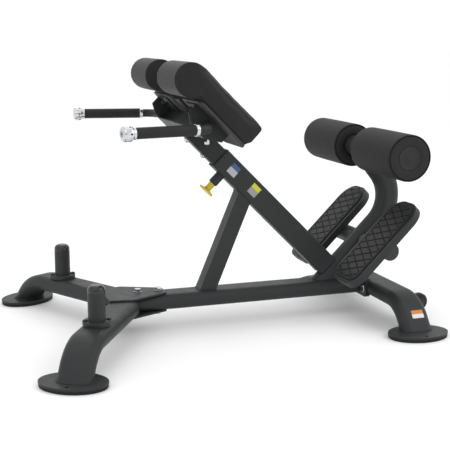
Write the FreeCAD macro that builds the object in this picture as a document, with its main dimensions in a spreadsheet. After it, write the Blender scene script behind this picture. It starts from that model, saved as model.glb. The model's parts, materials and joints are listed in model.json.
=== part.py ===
"""Roman chair (45 degree back extension bench) with a sliding hip pad carriage.

Frame: +Z up, floor at Z = 0, origin under the middle of the bench's outline.
-X is the handle end (front), +X the roller end (rear). The user faces -X, so
their left side is -Y. Lengths are millimetres and angles are degrees.

Two frames are used besides the bench's own:
  the slope frame follows the upright tube, which leans 45 degrees forward:
  its X runs up the tube, its Z points up and to the rear, its Y is the bench's -Y;
  an arm frame follows a leg: its X runs outward along the leg, its Z points down.
"""
import FreeCAD, Part
import math
import os
import Sketcher

DOC = FreeCAD.newDocument("roman_chair")
SHEET = DOC.addObject("Spreadsheet::Sheet", "Sizes")
SIDES = (("left", -1), ("right", 1))


class Size:
    """A driving dimension, or arithmetic on some: its value, and its spreadsheet expression."""

    def __init__(self, value, text=None):
        self.value = float(value)
        self.text = text if text else f"{float(value):.6g}"

    @staticmethod
    def of(other):
        return other if isinstance(other, Size) else Size(other)

    def __add__(self, other):
        other = Size.of(other)
        return Size(self.value + other.value, f"({self.text} + {other.text})")

    def __sub__(self, other):
        other = Size.of(other)
        return Size(self.value - other.value, f"({self.text} - {other.text})")

    def __mul__(self, other):
        other = Size.of(other)
        return Size(self.value * other.value, f"({self.text} * {other.text})")

    def __truediv__(self, other):
        other = Size.of(other)
        return Size(self.value / other.value, f"({self.text} / {other.text})")

    def __neg__(self):
        return self * -1

    def __radd__(self, other):
        return Size.of(other) + self

    def __rsub__(self, other):
        return Size.of(other) - self

    def __rmul__(self, other):
        return Size.of(other) * self


def sine(angle):
    return Size(math.sin(math.radians(angle.value)), f"sin({angle.text})")


def cosine(angle):
    return Size(math.cos(math.radians(angle.value)), f"cos({angle.text})")


class Dimensions:
    """Every driving dimension, readable as D.name once it has a spreadsheet row."""

    def __init__(self, groups):
        row = 0
        for title, values in groups.items():
            row += 1
            SHEET.set(f"A{row}", title)
            for name, value in values.items():
                row += 1
                SHEET.set(f"A{row}", name)
                SHEET.set(f"B{row}", str(value))
                SHEET.setAlias(f"B{row}", name)
                setattr(self, name, Size(value, f"Sizes.{name}"))


D = Dimensions({
    "base tubes": {
        "beam_width": 100, "beam_height": 50, "beam_wall": 3, "beam_axis_z": 89,
        "beam_front_x": -283, "beam_rear_x": 480,
        "arm_apex_x": -288, "arm_sweep": 30, "arm_run": 402, "hub_face_x": -287,
        "hub_face_half": 100,
        "cross_x": 534, "cross_run": 207, "leg_bend_radius": 120, "leg_bend": 52,
        "leg_tail": 60, "leg_start_spare": 40,
    },
    "feet": {
        "foot_half_length": 96, "foot_half_width": 70, "foot_plate_thick": 6,
        "foot_pad_thick": 10, "foot_hole_radius": 5, "foot_hole_offset": 52,
        "front_foot_x": -551.5, "front_foot_y": 449, "rear_foot_x": 527.5,
        "rear_foot_y": 350,
    },
    "front hub": {
        "gusset_thick": 6, "gusset_front_x": -372, "gusset_front_half": 76,
        "gusset_corner_x": -303, "gusset_corner_half": 86,
        "gusset_rear_x": -182, "gusset_rear_half": 30, "gusset_corner_radius": 6,
        "hub_bolt_front_x": -267, "hub_bolt_rear_x": -201,
    },
    "weight pegs": {
        "peg_radius": 25, "peg_wall": 3, "peg_from_apex": 330, "peg_top_z": 206,
        "peg_flange_radius": 41, "peg_flange_thick": 12, "peg_bolt_offset": 34,
        "peg_cap_height": 22, "peg_cap_plug": 16, "peg_cap_round": 15,
    },
    "rear joint": {
        "flange_half_width": 84, "flange_low_z": 60, "flange_high_z": 122,
        "flange_thick": 8, "flange_bolt_y": 67, "flange_bolt_z": 85,
        "flange_corner_radius": 8,
    },
    "fasteners": {
        "bolt_radius": 6, "bolt_head_radius": 10.9, "bolt_head_height": 8,
        "washer_radius": 12, "washer_thick": 2.5, "bolt_hole_radius": 6.5,
        "screw_radius": 4, "screw_head_radius": 7.5, "screw_head_height": 5,
        "screw_hole_radius": 4.2,
    },
    "upright and strut": {
        "slope_x": 531.5, "upright_width": 50, "upright_depth": 70, "upright_wall": 3,
        "upright_low": 237, "upright_mouth": 751, "tube_corner": 6,
        "strut_width": 50, "strut_wall": 3, "strut_foot_x": -44, "strut_lean": 67.3,
        "sleeve_length": 70, "sleeve_lip": 3, "sleeve_gap": 0.3,
    },
    "post and footrest": {
        "post_width": 60, "post_depth": 78, "post_wall": 3, "post_axis_u": 190,
        "post_start_w": -80, "post_bend_w": 220.66, "post_bend_radius": 130,
        "post_bend": 84, "post_tail": 105.77,
        "footrest_tube_radius": 28.5, "footrest_tube_wall": 3, "footrest_tube_u": 189,
        "footrest_tube_w": 146.5, "footrest_tube_half": 208, "footrest_cap_thick": 3,
        "footplate_low_w": -26, "footplate_high_w": 307, "footplate_top_u": 238,
        "footplate_depth": 22, "footplate_sheet": 4, "footplate_width": 166,
        "footplate_y": 175, "footplate_round_low": 46, "footplate_round_high": 64,
        "saddle_block_width": 28, "saddle_block_half": 62, "tread_screw_inset": 7.5,
        "tread_screw_radius": 2.5, "tread_screw_head_radius": 4.5,
        "mat_inset": 13, "mat_thick": 7, "mat_recess": 3,
    },
    "rollers": {
        "roller_radius": 71.4, "roller_inner_y": 61, "roller_outer_y": 320,
        "roller_core_radius": 20, "roller_core_wall": 7.45, "roller_recess": 15,
        "roller_cap_radius": 37, "roller_cap_thick": 5, "axle_radius": 12.5,
        "axle_half": 305.4, "head_tube_radius": 33, "head_tube_half": 60,
        "retainer_radius": 18, "retainer_thick": 3,
    },
    "pull pin": {
        "pin_u": 709, "pin_radius": 5, "pin_hole_radius": 5.5, "pin_tip_w": -20,
        "pin_travel": 12, "pin_collar_radius": 10, "pin_collar_w": -48,
        "pin_collar_thick": 4, "housing_radius": 15, "housing_bore_radius": 10.5,
        "housing_low_w": -72, "housing_end_wall": 6, "spring_wire_radius": 1.1,
        "spring_turns": 4, "knob_neck_radius": 10, "knob_radius": 26.5,
        "knob_high_w": -73, "knob_disc_w": -99, "knob_low_w": -105,
        "knob_bore_depth": 20,
    },
    "transport wheels": {
        "wheel_radius": 28, "wheel_width": 22, "wheel_bore_radius": 6.06,
        "wheel_x": 613.7, "wheel_y": 196, "wheel_z": 64, "wheel_axle_radius": 6,
        "wheel_ear_thick": 4, "wheel_ear_gap": 1, "wheel_ear_half": 15,
    },
    "carriage": {
        "inner_width": 40, "inner_depth": 60, "inner_wall": 2.5, "inner_low": 509,
        "inner_high": 909, "notch_pitch": 25, "notch_count": 7,
        "bracket_outer_y": 206, "bracket_sheet": 5, "bracket_low_u": 842,
        "bracket_high_u": 977, "bracket_low_w": -20, "bracket_high_w": 35,
        "bracket_wall_u": 912, "bracket_heel_u": 48, "bracket_heel_w": 28,
        "bracket_toe_u": 55, "bracket_toe_w": 20, "bracket_lip_u": 46,
        "ledge_inner_y": 112, "bar_width": 34, "bar_u": 866,
        "spine_width": 46, "board_thick": 8.5, "board_low_u": 797,
        "board_high_u": 988, "board_inset": 5, "board_round": 22,
        "pad_bolt_low_u": 866, "pad_bolt_high_u": 962, "pad_bolt_y": 155,
        "pad_bolt_radius": 5, "pad_bolt_head_radius": 9.2, "pad_bolt_head_height": 11,
        "pad_inner_y": 65, "pad_outer_y": 267, "pad_low_u": 793, "pad_low_w": 51.6,
        "pad_high_w": 115.4, "nose_u": 1048, "nose_radius": 52.6, "pad_round": 9,
        "tube_bolt_side_u": 818.5, "tube_bolt_high_u": 866, "tube_bolt_low_u": 795,
        "dome_radius": 9.5, "dome_height": 9,
        "handle_bolt_u": 895, "handle_bolt_w": 15,
    },
    "handles": {
        "handle_radius": 13, "handle_wall": 2.5, "grip_radius": 16, "handle_z": 651,
        "handle_end_x": -378, "handle_end_y": 357, "handle_toe_in": 11,
        "handle_run": 226, "handle_bend_radius": 40, "handle_bend": 62,
        "handle_tail": 96, "grip_start": 26, "grip_length": 182,
        "collar_radius": 17.5, "collar_length": 11, "knurl_radius": 22,
        "end_cap_length": 37, "end_cap_lip": 11,
    },
})


def vec(x=0.0, y=0.0, z=0.0):
    return FreeCAD.Vector(Size.of(x).value, Size.of(y).value, Size.of(z).value)


def bind(thing, name, size):
    """Sets a property to a size, and keeps it bound to the spreadsheet."""
    size = Size.of(size)
    if "." not in name:
        setattr(thing, name, size.value)
    thing.setExpression(name, size.text)


def place(thing, origin, along=(1, 0, 0), up=(0, 0, 1)):
    """Puts a piece's own frame at origin, with its X along and its Z up as given."""
    turn = FreeCAD.Rotation(vec(*along), FreeCAD.Vector(), vec(*up), "XZY")
    thing.Placement = FreeCAD.Placement(vec(*origin), turn)
    for axis, size in zip("xyz", origin):
        bind(thing, f"Placement.Base.{axis}", size)
    return thing


ROOT_HALF = Size(math.sqrt(0.5), "sqrt(0.5)")


def on_slope(thing, u=0, y=0, w=0):
    """Puts a piece at u along the upright and w off its axis, in the slope frame."""
    u, w = Size.of(u), Size.of(w)
    origin = (D.slope_x + (w - u) * ROOT_HALF, Size.of(y), (u + w) * ROOT_HALF)
    return place(thing, origin, along=(-1, 0, 1), up=(1, 0, 1))


# --- sketches -------------------------------------------------------------------------


def body(label):
    made = DOC.addObject("PartDesign::Body", label)
    made.Label = label
    return made


def sketch_on(piece, plane, offset=0):
    """A sketch on one of the body's own planes, moved along the plane's normal."""
    made = piece.newObject("Sketcher::SketchObject", f"{piece.Name}_sketch")
    base = [f for f in piece.Origin.OriginFeatures if f.Role == f"{plane}_Plane"][0]
    made.AttachmentSupport = [(base, "")]
    made.MapMode = "FlatFace"
    bind(made, "AttachmentOffset.Base.z", offset)
    return made


def fix(sketch, kind, size, *where):
    """Adds one dimension to a sketch and binds it to the spreadsheet."""
    size = Size.of(size)
    index = sketch.addConstraint(Sketcher.Constraint(kind, *where, size.value))
    if "Sizes." in size.text:
        sketch.setExpression(f"Constraints[{index}]", size.text)


def fix_point(sketch, geometry, end, x, y):
    fix(sketch, "DistanceX", x, -1, 1, geometry, end)
    fix(sketch, "DistanceY", y, -1, 1, geometry, end)


def outline(sketch, *corners):
    """A closed figure of straight lines through the corners."""
    ends = list(corners[1:]) + [corners[0]]
    lines = [
        sketch.addGeometry(Part.LineSegment(vec(*a), vec(*b)))
        for a, b in zip(corners, ends)
    ]
    for line, after in zip(lines, lines[1:] + lines[:1]):
        sketch.addConstraint(Sketcher.Constraint("Coincident", line, 2, after, 1))
    for line, corner in zip(lines, corners):
        fix_point(sketch, line, 1, *corner)


def rectangle(sketch, width, height, x=0, y=0):
    """A rectangle centred on (x, y)."""
    x, y = Size.of(x), Size.of(y)
    across, up = Size.of(width) / 2, Size.of(height) / 2
    outline(
        sketch,
        (x - across, y - up),
        (x + across, y - up),
        (x + across, y + up),
        (x - across, y + up),
    )


def circle(sketch, radius, x=0, y=0):
    index = sketch.addGeometry(
        Part.Circle(vec(x, y), FreeCAD.Vector(0, 0, 1), Size.of(radius).value)
    )
    fix(sketch, "Radius", radius, index)
    fix_point(sketch, index, 3, x, y)


def arc(sketch, x, y, radius, start, end):
    """An arc about (x, y) from one angle to the other, counter-clockwise."""
    ring = Part.Circle(vec(x, y), FreeCAD.Vector(0, 0, 1), Size.of(radius).value)
    return sketch.addGeometry(
        Part.ArcOfCircle(ring, math.radians(start), math.radians(end))
    )


def rounded(sketch, low_x, high_x, low_y, high_y, low_round, high_round):
    """A rectangle with one corner radius at its low-X end and one at its high-X end."""
    low_x, high_x, low_y, high_y = map(Size.of, (low_x, high_x, low_y, high_y))
    corners = (
        (high_x, high_y, high_round, -1, -1, 0),
        (low_x, high_y, low_round, 1, -1, 90),
        (low_x, low_y, low_round, 1, 1, 180),
        (high_x, low_y, high_round, -1, 1, 270),
    )
    arcs = []
    for x, y, radius, inward_x, inward_y, start in corners:
        radius = Size.of(radius)
        centre = (x + radius * inward_x, y + radius * inward_y)
        index = arc(sketch, *centre, radius, start, start + 90)
        fix(sketch, "Radius", radius, index)
        fix_point(sketch, index, 3, *centre)
        arcs.append(index)
    for first, second in zip(arcs, arcs[1:] + arcs[:1]):
        a, b = sketch.getPoint(first, 2), sketch.getPoint(second, 1)
        line = sketch.addGeometry(Part.LineSegment(a, b))
        sketch.addConstraint(Sketcher.Constraint("Tangent", first, 2, line, 1))
        sketch.addConstraint(Sketcher.Constraint("Tangent", line, 2, second, 1))


def flat_oval(sketch, width, height, inset=0):
    """The section of a tube with two flat walls and two half-round ones."""
    width, height = Size.of(width) - Size.of(inset) * 2, Size.of(height) - Size.of(inset) * 2
    upright = height.value > width.value
    small = width if upright else height
    reach = (height - width) / 2 if upright else (width - height) / 2
    first = 0 if upright else -90
    arcs = []
    for sign in (1, -1):
        centre = (Size(0), reach * sign) if upright else (reach * sign, Size(0))
        index = arc(sketch, *centre, small / 2, first, first + 180)
        fix(sketch, "Radius", small / 2, index)
        fix_point(sketch, index, 3, *centre)
        arcs.append(index)
        first += 180
    for one, two in ((0, 1), (1, 0)):
        a, b = sketch.getPoint(arcs[one], 2), sketch.getPoint(arcs[two], 1)
        line = sketch.addGeometry(Part.LineSegment(a, b))
        sketch.addConstraint(Sketcher.Constraint("Tangent", arcs[one], 2, line, 1))
        sketch.addConstraint(Sketcher.Constraint("Tangent", line, 2, arcs[two], 1))


# --- features -------------------------------------------------------------------------


def extrude(kind, piece, sketch, length, both_ways, reverse):
    feature = piece.newObject(kind, f"{piece.Name}_feature")
    feature.Profile = sketch
    bind(feature, "Length", length)
    feature.SideType = "Symmetric" if both_ways else "One side"
    feature.Reversed = reverse
    return feature


def pad(piece, sketch, length, both_ways=False, reverse=False):
    return extrude("PartDesign::Pad", piece, sketch, length, both_ways, reverse)


def cut(piece, sketch, length=2000, both_ways=True, reverse=False):
    """A pocket, checked to have taken something away."""
    DOC.recompute()
    before = piece.Shape.Volume
    feature = extrude("PartDesign::Pocket", piece, sketch, length, both_ways, reverse)
    DOC.recompute()
    if not piece.Shape.Volume < before - 1e-3:
        raise ValueError(f"{piece.Label}: a pocket removed nothing")
    return feature


def turn(piece, sketch):
    """Revolves a sketch on the XZ plane about the body's Z axis."""
    feature = piece.newObject("PartDesign::Revolution", f"{piece.Name}_turn")
    feature.Profile = sketch
    feature.ReferenceAxis = (sketch, ["V_Axis"])
    feature.Angle = 360
    return feature


def round_edges(piece, radius, wanted):
    """Fillets the edges for which wanted(edge) holds."""
    DOC.recompute()
    names = [
        f"Edge{i}" for i, edge in enumerate(piece.Shape.Edges, 1) if wanted(edge)
    ]
    base = piece.Tip
    feature = piece.newObject("PartDesign::Fillet", f"{piece.Name}_round")
    feature.Base = (base, names)
    bind(feature, "Radius", radius)
    piece.Tip = feature
    return feature


def turned(label, *profile):
    """A turned piece: the profile's corners are (radius, height) pairs."""
    piece = body(label)
    section = sketch_on(piece, "XZ")
    outline(section, *profile)
    turn(piece, section)
    return piece


def box_tube(piece, width, depth, wall, low, high, corner):
    """A rectangular tube along the body's X, from low to high."""
    low, high = Size.of(low), Size.of(high)
    section = sketch_on(piece, "YZ", low)
    rectangle(section, width, depth)
    pad(piece, section, high - low)
    round_edges(piece, corner, lambda edge: along_x(piece, edge))
    hollow = sketch_on(piece, "YZ", low)
    rectangle(hollow, width - wall * 2, depth - wall * 2)
    cut(piece, hollow, (high - low) * 2)


def along_x(piece, edge):
    """Whether an edge of the body runs along the body's own X axis."""
    if not isinstance(edge.Curve, Part.Line):
        return False
    own_x = piece.Placement.Rotation.multVec(FreeCAD.Vector(1, 0, 0))
    return abs(abs(edge.Curve.Direction.dot(own_x)) - 1) < 1e-6


def bent_path(sketch, first, radius, angle, last):
    """A straight run along X, a bend towards +Y of the sketch, and a straight run."""
    first, radius, last = map(Size.of, (first, radius, last))
    bend_x, bend_y = radius * sine(angle), radius * (1 - cosine(angle))
    knee = (first + bend_x, bend_y)
    tip = (knee[0] + last * cosine(angle), knee[1] + last * sine(angle))
    run = sketch.addGeometry(Part.LineSegment(vec(), vec(first)))
    bend = arc(sketch, first, radius, radius, -90, -90 + angle.value)
    tail = sketch.addGeometry(Part.LineSegment(vec(*knee), vec(*tip)))
    sketch.addConstraint(Sketcher.Constraint("Coincident", run, 2, bend, 1))
    sketch.addConstraint(Sketcher.Constraint("Coincident", bend, 2, tail, 1))
    fix_point(sketch, run, 1, 0, 0)
    fix_point(sketch, run, 2, first, 0)
    fix_point(sketch, bend, 3, first, radius)
    fix(sketch, "DistanceX", knee[0], -1, 1, tail, 1)
    fix_point(sketch, tail, 2, *tip)


def sweep(kind, piece, section, path):
    feature = piece.newObject(f"PartDesign::{kind}", f"{piece.Name}_sweep")
    feature.Profile = section
    feature.Spine = (path, [])
    feature.Mode = "Standard"
    return feature


def bent_tube(label, draw, wall, first, radius, angle, last):
    """A tube swept along a bent path in the body's XZ plane, bending towards +Z."""
    piece = body(label)
    path = sketch_on(piece, "XZ")
    bent_path(path, first, radius, angle, last)
    section = sketch_on(piece, "YZ")
    draw(section, Size(0))
    sweep("AdditivePipe", piece, section, path)
    bore = sketch_on(piece, "YZ")
    draw(bore, wall)
    sweep("SubtractivePipe", piece, bore, path)
    return piece


def group(label, pieces):
    """Several separate solids of one kind in one node."""
    made = DOC.addObject("Part::Compound", label)
    made.Label = label
    made.Links = pieces
    return made


def hexagon(sketch, radius):
    corners = [
        (Size.of(radius) * round(math.cos(math.radians(a)), 9),
         Size.of(radius) * round(math.sin(math.radians(a)), 9))
        for a in range(0, 360, 60)
    ]
    outline(sketch, *corners)


def hex_bolt(label, shank):
    """A hex bolt with its washer: the washer rests on Z = 0, and the shank runs down."""
    piece = body(label)
    head = sketch_on(piece, "XY", D.washer_thick)
    hexagon(head, D.bolt_head_radius)
    pad(piece, head, D.bolt_head_height)
    washer = sketch_on(piece, "XY")
    circle(washer, D.washer_radius)
    pad(piece, washer, D.washer_thick)
    rod = sketch_on(piece, "XY")
    circle(rod, D.bolt_radius)
    pad(piece, rod, shank, reverse=True)
    return piece


def dome_bolt(label, radius, height, shank_radius, shank):
    """A low round-headed bolt: the head rests on Z = 0, and the shank runs down."""
    edge = Size.of(height) * 0.4
    return turned(
        label,
        (0, height),
        (Size.of(radius) * 0.55, height),
        (radius, edge),
        (radius, 0),
        (shank_radius, 0),
        (shank_radius, -Size.of(shank)),
        (0, -Size.of(shank)),
    )


# --- base: beam, arms, cross member, feet ---------------------------------------------

NODES = []


def node(piece):
    NODES.append(piece)
    return piece


TUBE_TOP = D.beam_axis_z + D.beam_height / 2
TUBE_LOW = D.beam_axis_z - D.beam_height / 2
FOOT_TOP = D.foot_pad_thick + D.foot_plate_thick


def beam_section(sketch, inset):
    flat_oval(sketch, D.beam_width, D.beam_height, inset)


def main_beam():
    piece = place(body("main_beam"), (0, 0, D.beam_axis_z))
    for inset in (Size(0), D.beam_wall):
        section = sketch_on(piece, "YZ", D.beam_front_x)
        beam_section(section, inset)
        if inset.value:
            cut(piece, section, (D.beam_rear_x - D.beam_front_x) * 2)
        else:
            pad(piece, section, D.beam_rear_x - D.beam_front_x)
    holes = sketch_on(piece, "XY")
    for x in (D.hub_bolt_front_x, D.hub_bolt_rear_x):
        circle(holes, D.bolt_hole_radius, x, 0)
    cut(piece, holes)
    return node(piece)


def leg(label, run, origin, along, spare=Size(0)):
    """A leg: a level run, a bend down, and a tail cut off level on its foot plate."""
    piece = bent_tube(
        label, beam_section, D.beam_wall, run + spare,
        D.leg_bend_radius, D.leg_bend, D.leg_tail,
    )
    place(piece, origin, along=along, up=(0, 0, -1))
    drop = D.beam_axis_z - FOOT_TOP
    level = sketch_on(piece, "XZ")
    rectangle(level, D.leg_bend_radius * 4, 200, run + D.leg_bend_radius, drop + 100)
    cut(piece, level)
    return piece


def front_arm(side, sign):
    """A front leg, mitred on the bench's middle plane and cut square for the beam."""
    sweep_sine, sweep_cosine = sine(D.arm_sweep), cosine(D.arm_sweep)
    along = (-sweep_sine, sweep_cosine * sign)
    spare = D.leg_start_spare
    origin = (D.arm_apex_x + sweep_sine * spare, -(sweep_cosine * spare * sign), D.beam_axis_z)
    piece = leg(f"front_leg_{side}", D.arm_run, origin, (*along, 0), spare)
    # the leg's own Y axis is its down axis crossed with its outward one
    half = D.beam_width
    lean = sweep_sine / sweep_cosine * half * -sign
    mitre = sketch_on(piece, "XY")
    outline(mitre, (spare + lean, half), (spare - lean, -half), (-half, -half), (-half, half))
    cut(piece, mitre)
    # squares the hub's rear face: its corners in the leg's own frame
    depth, wide = D.hub_face_x - D.arm_apex_x, D.hub_face_half * sign
    square = sketch_on(piece, "XY")
    corners = []
    for x, y in ((depth, 0), (depth, wide), (depth + half, wide), (depth + half, 0)):
        x, y = Size.of(x), Size.of(y)
        along_leg = x * along[0] + y * along[1]
        across_leg = (x * along[1] - y * along[0]) * 1
        corners.append((spare + along_leg, across_leg))
    outline(square, *corners)
    cut(piece, square)
    return node(piece)


def rear_leg(side, sign):
    """Half of the rear cross member, notched in front for the bolting flange."""
    origin = (D.cross_x, 0, D.beam_axis_z)
    piece = leg(f"rear_leg_{side}", D.cross_run, origin, (0, sign, 0))
    saddle_x = D.beam_rear_x + D.flange_thick * 2
    depth = D.cross_x - saddle_x
    notch = sketch_on(piece, "XY")
    front = -sign
    outline(
        notch,
        (-5, depth * front),
        (D.flange_half_width, depth * front),
        (D.flange_half_width, 80 * front),
        (-5, 80 * front),
    )
    cut(piece, notch)
    return node(piece)


def oval_slab(label, thick, half_length, half_width):
    """A flat oval slab standing on its own XY plane, long along X."""
    rim = DOC.addObject("Part::Ellipse", f"{label}_rim")
    bind(rim, "MajorRadius", half_length)
    bind(rim, "MinorRadius", half_width)
    slab = DOC.addObject("Part::Extrusion", f"{label}_slab")
    slab.Base = rim
    slab.DirMode = "Custom"
    slab.Dir = FreeCAD.Vector(0, 0, 1)
    bind(slab, "LengthFwd", thick)
    slab.Solid = True
    return slab


def drilled(label, slab, thick):
    """The slab with its anchor hole, on the side that faces away from the bench."""
    drill = DOC.addObject("Part::Cylinder", f"{label}_drill")
    bind(drill, "Radius", D.foot_hole_radius)
    bind(drill, "Height", Size.of(thick) * 2)
    bind(drill, "Placement.Base.y", D.foot_hole_offset)
    bind(drill, "Placement.Base.z", -Size.of(thick) / 2)
    made = DOC.addObject("Part::Cut", label)
    made.Base = slab
    made.Tool = drill
    return made


def feet():
    """Steel foot plates on rubber pads, each turned across its own leg."""
    pads = []
    for row, x, y, turn_by in (
        ("front", D.front_foot_x, D.front_foot_y, D.arm_sweep.value),
        ("rear", D.rear_foot_x, D.rear_foot_y, 0.0),
    ):
        plates = []
        for side, sign in SIDES:
            angle = math.radians(turn_by * sign)
            outward = (-math.sin(angle) * sign, math.cos(angle) * sign, 0)
            along = (outward[1], -outward[0], 0)
            for part, thick, low in (
                ("plate", D.foot_plate_thick, D.foot_pad_thick),
                ("pad", D.foot_pad_thick, Size(0)),
            ):
                name = f"{row}_{side}_foot_{part}"
                grow = Size(0) if part == "plate" else Size(-1)
                slab = oval_slab(name, thick, D.foot_half_length + grow, D.foot_half_width + grow)
                piece = drilled(name, slab, thick)
                place(piece, (x, y * sign, low), along=along)
                (plates if part == "plate" else pads).append(piece)
        node(group(f"foot_plates_{row}", plates))
    node(group("foot_pads", pads))


def gusset(label, low_z):
    """A hub plate welded across both arms and bolted through the beam."""
    piece = place(body(label), (0, 0, low_z))
    shape = sketch_on(piece, "XY")
    outline(
        shape,
        (D.gusset_front_x, -D.gusset_front_half),
        (D.gusset_corner_x, -D.gusset_corner_half),
        (D.gusset_rear_x, -D.gusset_rear_half),
        (D.gusset_rear_x, D.gusset_rear_half),
        (D.gusset_corner_x, D.gusset_corner_half),
        (D.gusset_front_x, D.gusset_front_half),
    )
    pad(piece, shape, D.gusset_thick)
    holes = sketch_on(piece, "XY")
    for x in (D.hub_bolt_front_x, D.hub_bolt_rear_x):
        circle(holes, D.bolt_hole_radius, x, 0)
    cut(piece, holes)
    return node(piece)


def hub_bolts():
    """Two bolts down through the hub plates and the beam, each with its nut below."""
    pieces = []
    top = TUBE_TOP + D.gusset_thick
    grip = D.beam_height + D.gusset_thick * 2
    for name, x in (("front", D.hub_bolt_front_x), ("rear", D.hub_bolt_rear_x)):
        bolt = hex_bolt(f"hub_bolt_{name}", grip + 14)
        nut = sketch_on(bolt, "XY", -grip)
        hexagon(nut, D.bolt_head_radius)
        pad(bolt, nut, D.bolt_head_height, reverse=True)
        pieces.append(place(bolt, (x, 0, top)))
    return node(group("hub_bolts", pieces))


def flange(label, low_x):
    """An upright plate across the bench, bolted to its twin."""
    piece = place(body(label), (low_x, 0, 0))
    face = sketch_on(piece, "YZ")
    half = D.flange_half_width
    rounded(face, -half, half, D.flange_low_z, D.flange_high_z,
            D.flange_corner_radius, D.flange_corner_radius)
    pad(piece, face, D.flange_thick)
    holes = sketch_on(piece, "YZ")
    for _, sign in SIDES:
        circle(holes, D.bolt_hole_radius, D.flange_bolt_y * sign, D.flange_bolt_z)
    cut(piece, holes)
    return node(piece)


def flange_bolts():
    pieces = []
    for side, sign in SIDES:
        bolt = hex_bolt(f"flange_bolt_{side}", D.flange_thick * 2 - 0.5)
        origin = (D.beam_rear_x, D.flange_bolt_y * sign, D.flange_bolt_z)
        pieces.append(place(bolt, origin, along=(0, 0, 1), up=(-1, 0, 0)))
    return node(group("flange_bolts", pieces))


# --- weight pegs ----------------------------------------------------------------------


def peg_origin(sign):
    out = D.peg_from_apex
    return (
        D.arm_apex_x - sine(D.arm_sweep) * out,
        cosine(D.arm_sweep) * out * sign,
        TUBE_TOP,
    )


def weight_peg(side, sign):
    """A tube welded on a round flange that is bolted to the arm."""
    height = D.peg_top_z - TUBE_TOP
    piece = turned(
        f"weight_peg_{side}",
        (D.peg_radius - D.peg_wall, 0),
        (D.peg_flange_radius, 0),
        (D.peg_flange_radius, D.peg_flange_thick - 2),
        (D.peg_flange_radius - 2, D.peg_flange_thick),
        (D.peg_radius, D.peg_flange_thick),
        (D.peg_radius, height),
        (D.peg_radius - D.peg_wall, height),
    )
    holes = sketch_on(piece, "XY")
    for offset in (-D.peg_bolt_offset, D.peg_bolt_offset):
        circle(holes, D.screw_hole_radius, offset, 0)
    cut(piece, holes, D.peg_flange_thick * 3)
    return node(place(piece, peg_origin(sign)))


def peg_caps():
    """Domed plastic caps, each with a plug inside the peg."""
    pieces = []
    plug = D.peg_radius - D.peg_wall
    for side, sign in SIDES:
        cap = turned(
            f"peg_cap_{side}",
            (0, -D.peg_cap_plug), (plug, -D.peg_cap_plug), (plug, 0),
            (D.peg_radius, 0), (D.peg_radius, D.peg_cap_height), (0, D.peg_cap_height),
        )
        top = D.peg_cap_height.value - 0.5
        round_edges(cap, D.peg_cap_round, lambda edge: edge.BoundBox.ZMin > top)
        x, y, _ = peg_origin(sign)
        pieces.append(place(cap, (x, y, D.peg_top_z)))
    return node(group("peg_caps", pieces))


def peg_bolts():
    pieces = []
    for side, sign in SIDES:
        x, y, z = peg_origin(sign)
        for end, offset in (("front", -D.peg_bolt_offset), ("rear", D.peg_bolt_offset)):
            bolt = dome_bolt(
                f"peg_bolt_{side}_{end}", D.screw_head_radius, D.screw_head_height,
                D.screw_radius, D.peg_flange_thick - 0.5,
            )
            pieces.append(place(bolt, (x + offset, y, z + D.peg_flange_thick)))
    return node(group("peg_bolts", pieces))


# --- upright, strut, post, footrest ---------------------------------------------------


def upright_tube():
    """The outer tube of the telescoping upright, coped round the post at its foot."""
    piece = on_slope(body("upright_tube"))
    post_radius = D.post_width / 2
    cope = D.upright_low - D.post_width * 0.22
    box_tube(piece, D.upright_width, D.upright_depth, D.upright_wall,
             cope, D.upright_mouth, D.tube_corner)
    nose = sketch_on(piece, "XY")
    circle(nose, post_radius, D.upright_low - post_radius, 0)
    cut(piece, nose)
    hole = sketch_on(piece, "XY")
    circle(hole, D.pin_hole_radius, D.pin_u, 0)
    cut(piece, hole, D.upright_depth, both_ways=False)
    return node(piece)


def upright_sleeve():
    """The plastic bush in the upright's mouth that the inner tube slides in."""
    piece = on_slope(body("upright_sleeve"))
    slip = 0.1
    width = D.upright_width - D.upright_wall * 2 - slip * 2
    depth = D.upright_depth - D.upright_wall * 2 - slip * 2
    shell = sketch_on(piece, "YZ", D.upright_mouth - D.sleeve_length)
    rectangle(shell, width, depth)
    pad(piece, shell, D.sleeve_length)
    lip = sketch_on(piece, "YZ", D.upright_mouth)
    rectangle(lip, D.upright_width, D.upright_depth)
    pad(piece, lip, D.sleeve_lip)
    hollow = sketch_on(piece, "YZ", D.upright_mouth)
    rectangle(hollow, D.inner_width + D.sleeve_gap * 2, D.inner_depth + D.sleeve_gap * 2)
    cut(piece, hollow, D.sleeve_length * 3)
    hole = sketch_on(piece, "XY")
    circle(hole, D.pin_hole_radius, D.pin_u, 0)
    cut(piece, hole, D.upright_depth, both_ways=False)
    return node(piece)


def strut():
    """A square tube from the beam's top to the upright's underside, cut to both."""
    lean_sine, lean_cosine = sine(D.strut_lean), cosine(D.strut_lean)
    piece = body("strut")
    place(piece, (D.strut_foot_x, 0, TUBE_TOP),
          along=(lean_cosine, 0, lean_sine), up=(-lean_sine, 0, lean_cosine))
    # the upright's underside is the line x + z = under, and the strut's run reaches it
    under = D.slope_x - D.upright_depth / 2 / ROOT_HALF
    reach = (under - D.strut_foot_x - TUBE_TOP) / (lean_sine + lean_cosine)
    half = D.strut_width / 2
    foot_skew = half * lean_cosine / lean_sine
    head_skew = half * (lean_sine - lean_cosine) / (lean_sine + lean_cosine)
    side = sketch_on(piece, "XZ")
    outline(side, (-foot_skew, half), (foot_skew, -half),
            (reach - head_skew, -half), (reach + head_skew, half))
    pad(piece, side, D.strut_width, both_ways=True)
    hollow = sketch_on(piece, "YZ", -half)
    rectangle(hollow, D.strut_width - D.strut_wall * 2, D.strut_width - D.strut_wall * 2)
    cut(piece, hollow, reach * 4)
    return node(piece)


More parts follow.
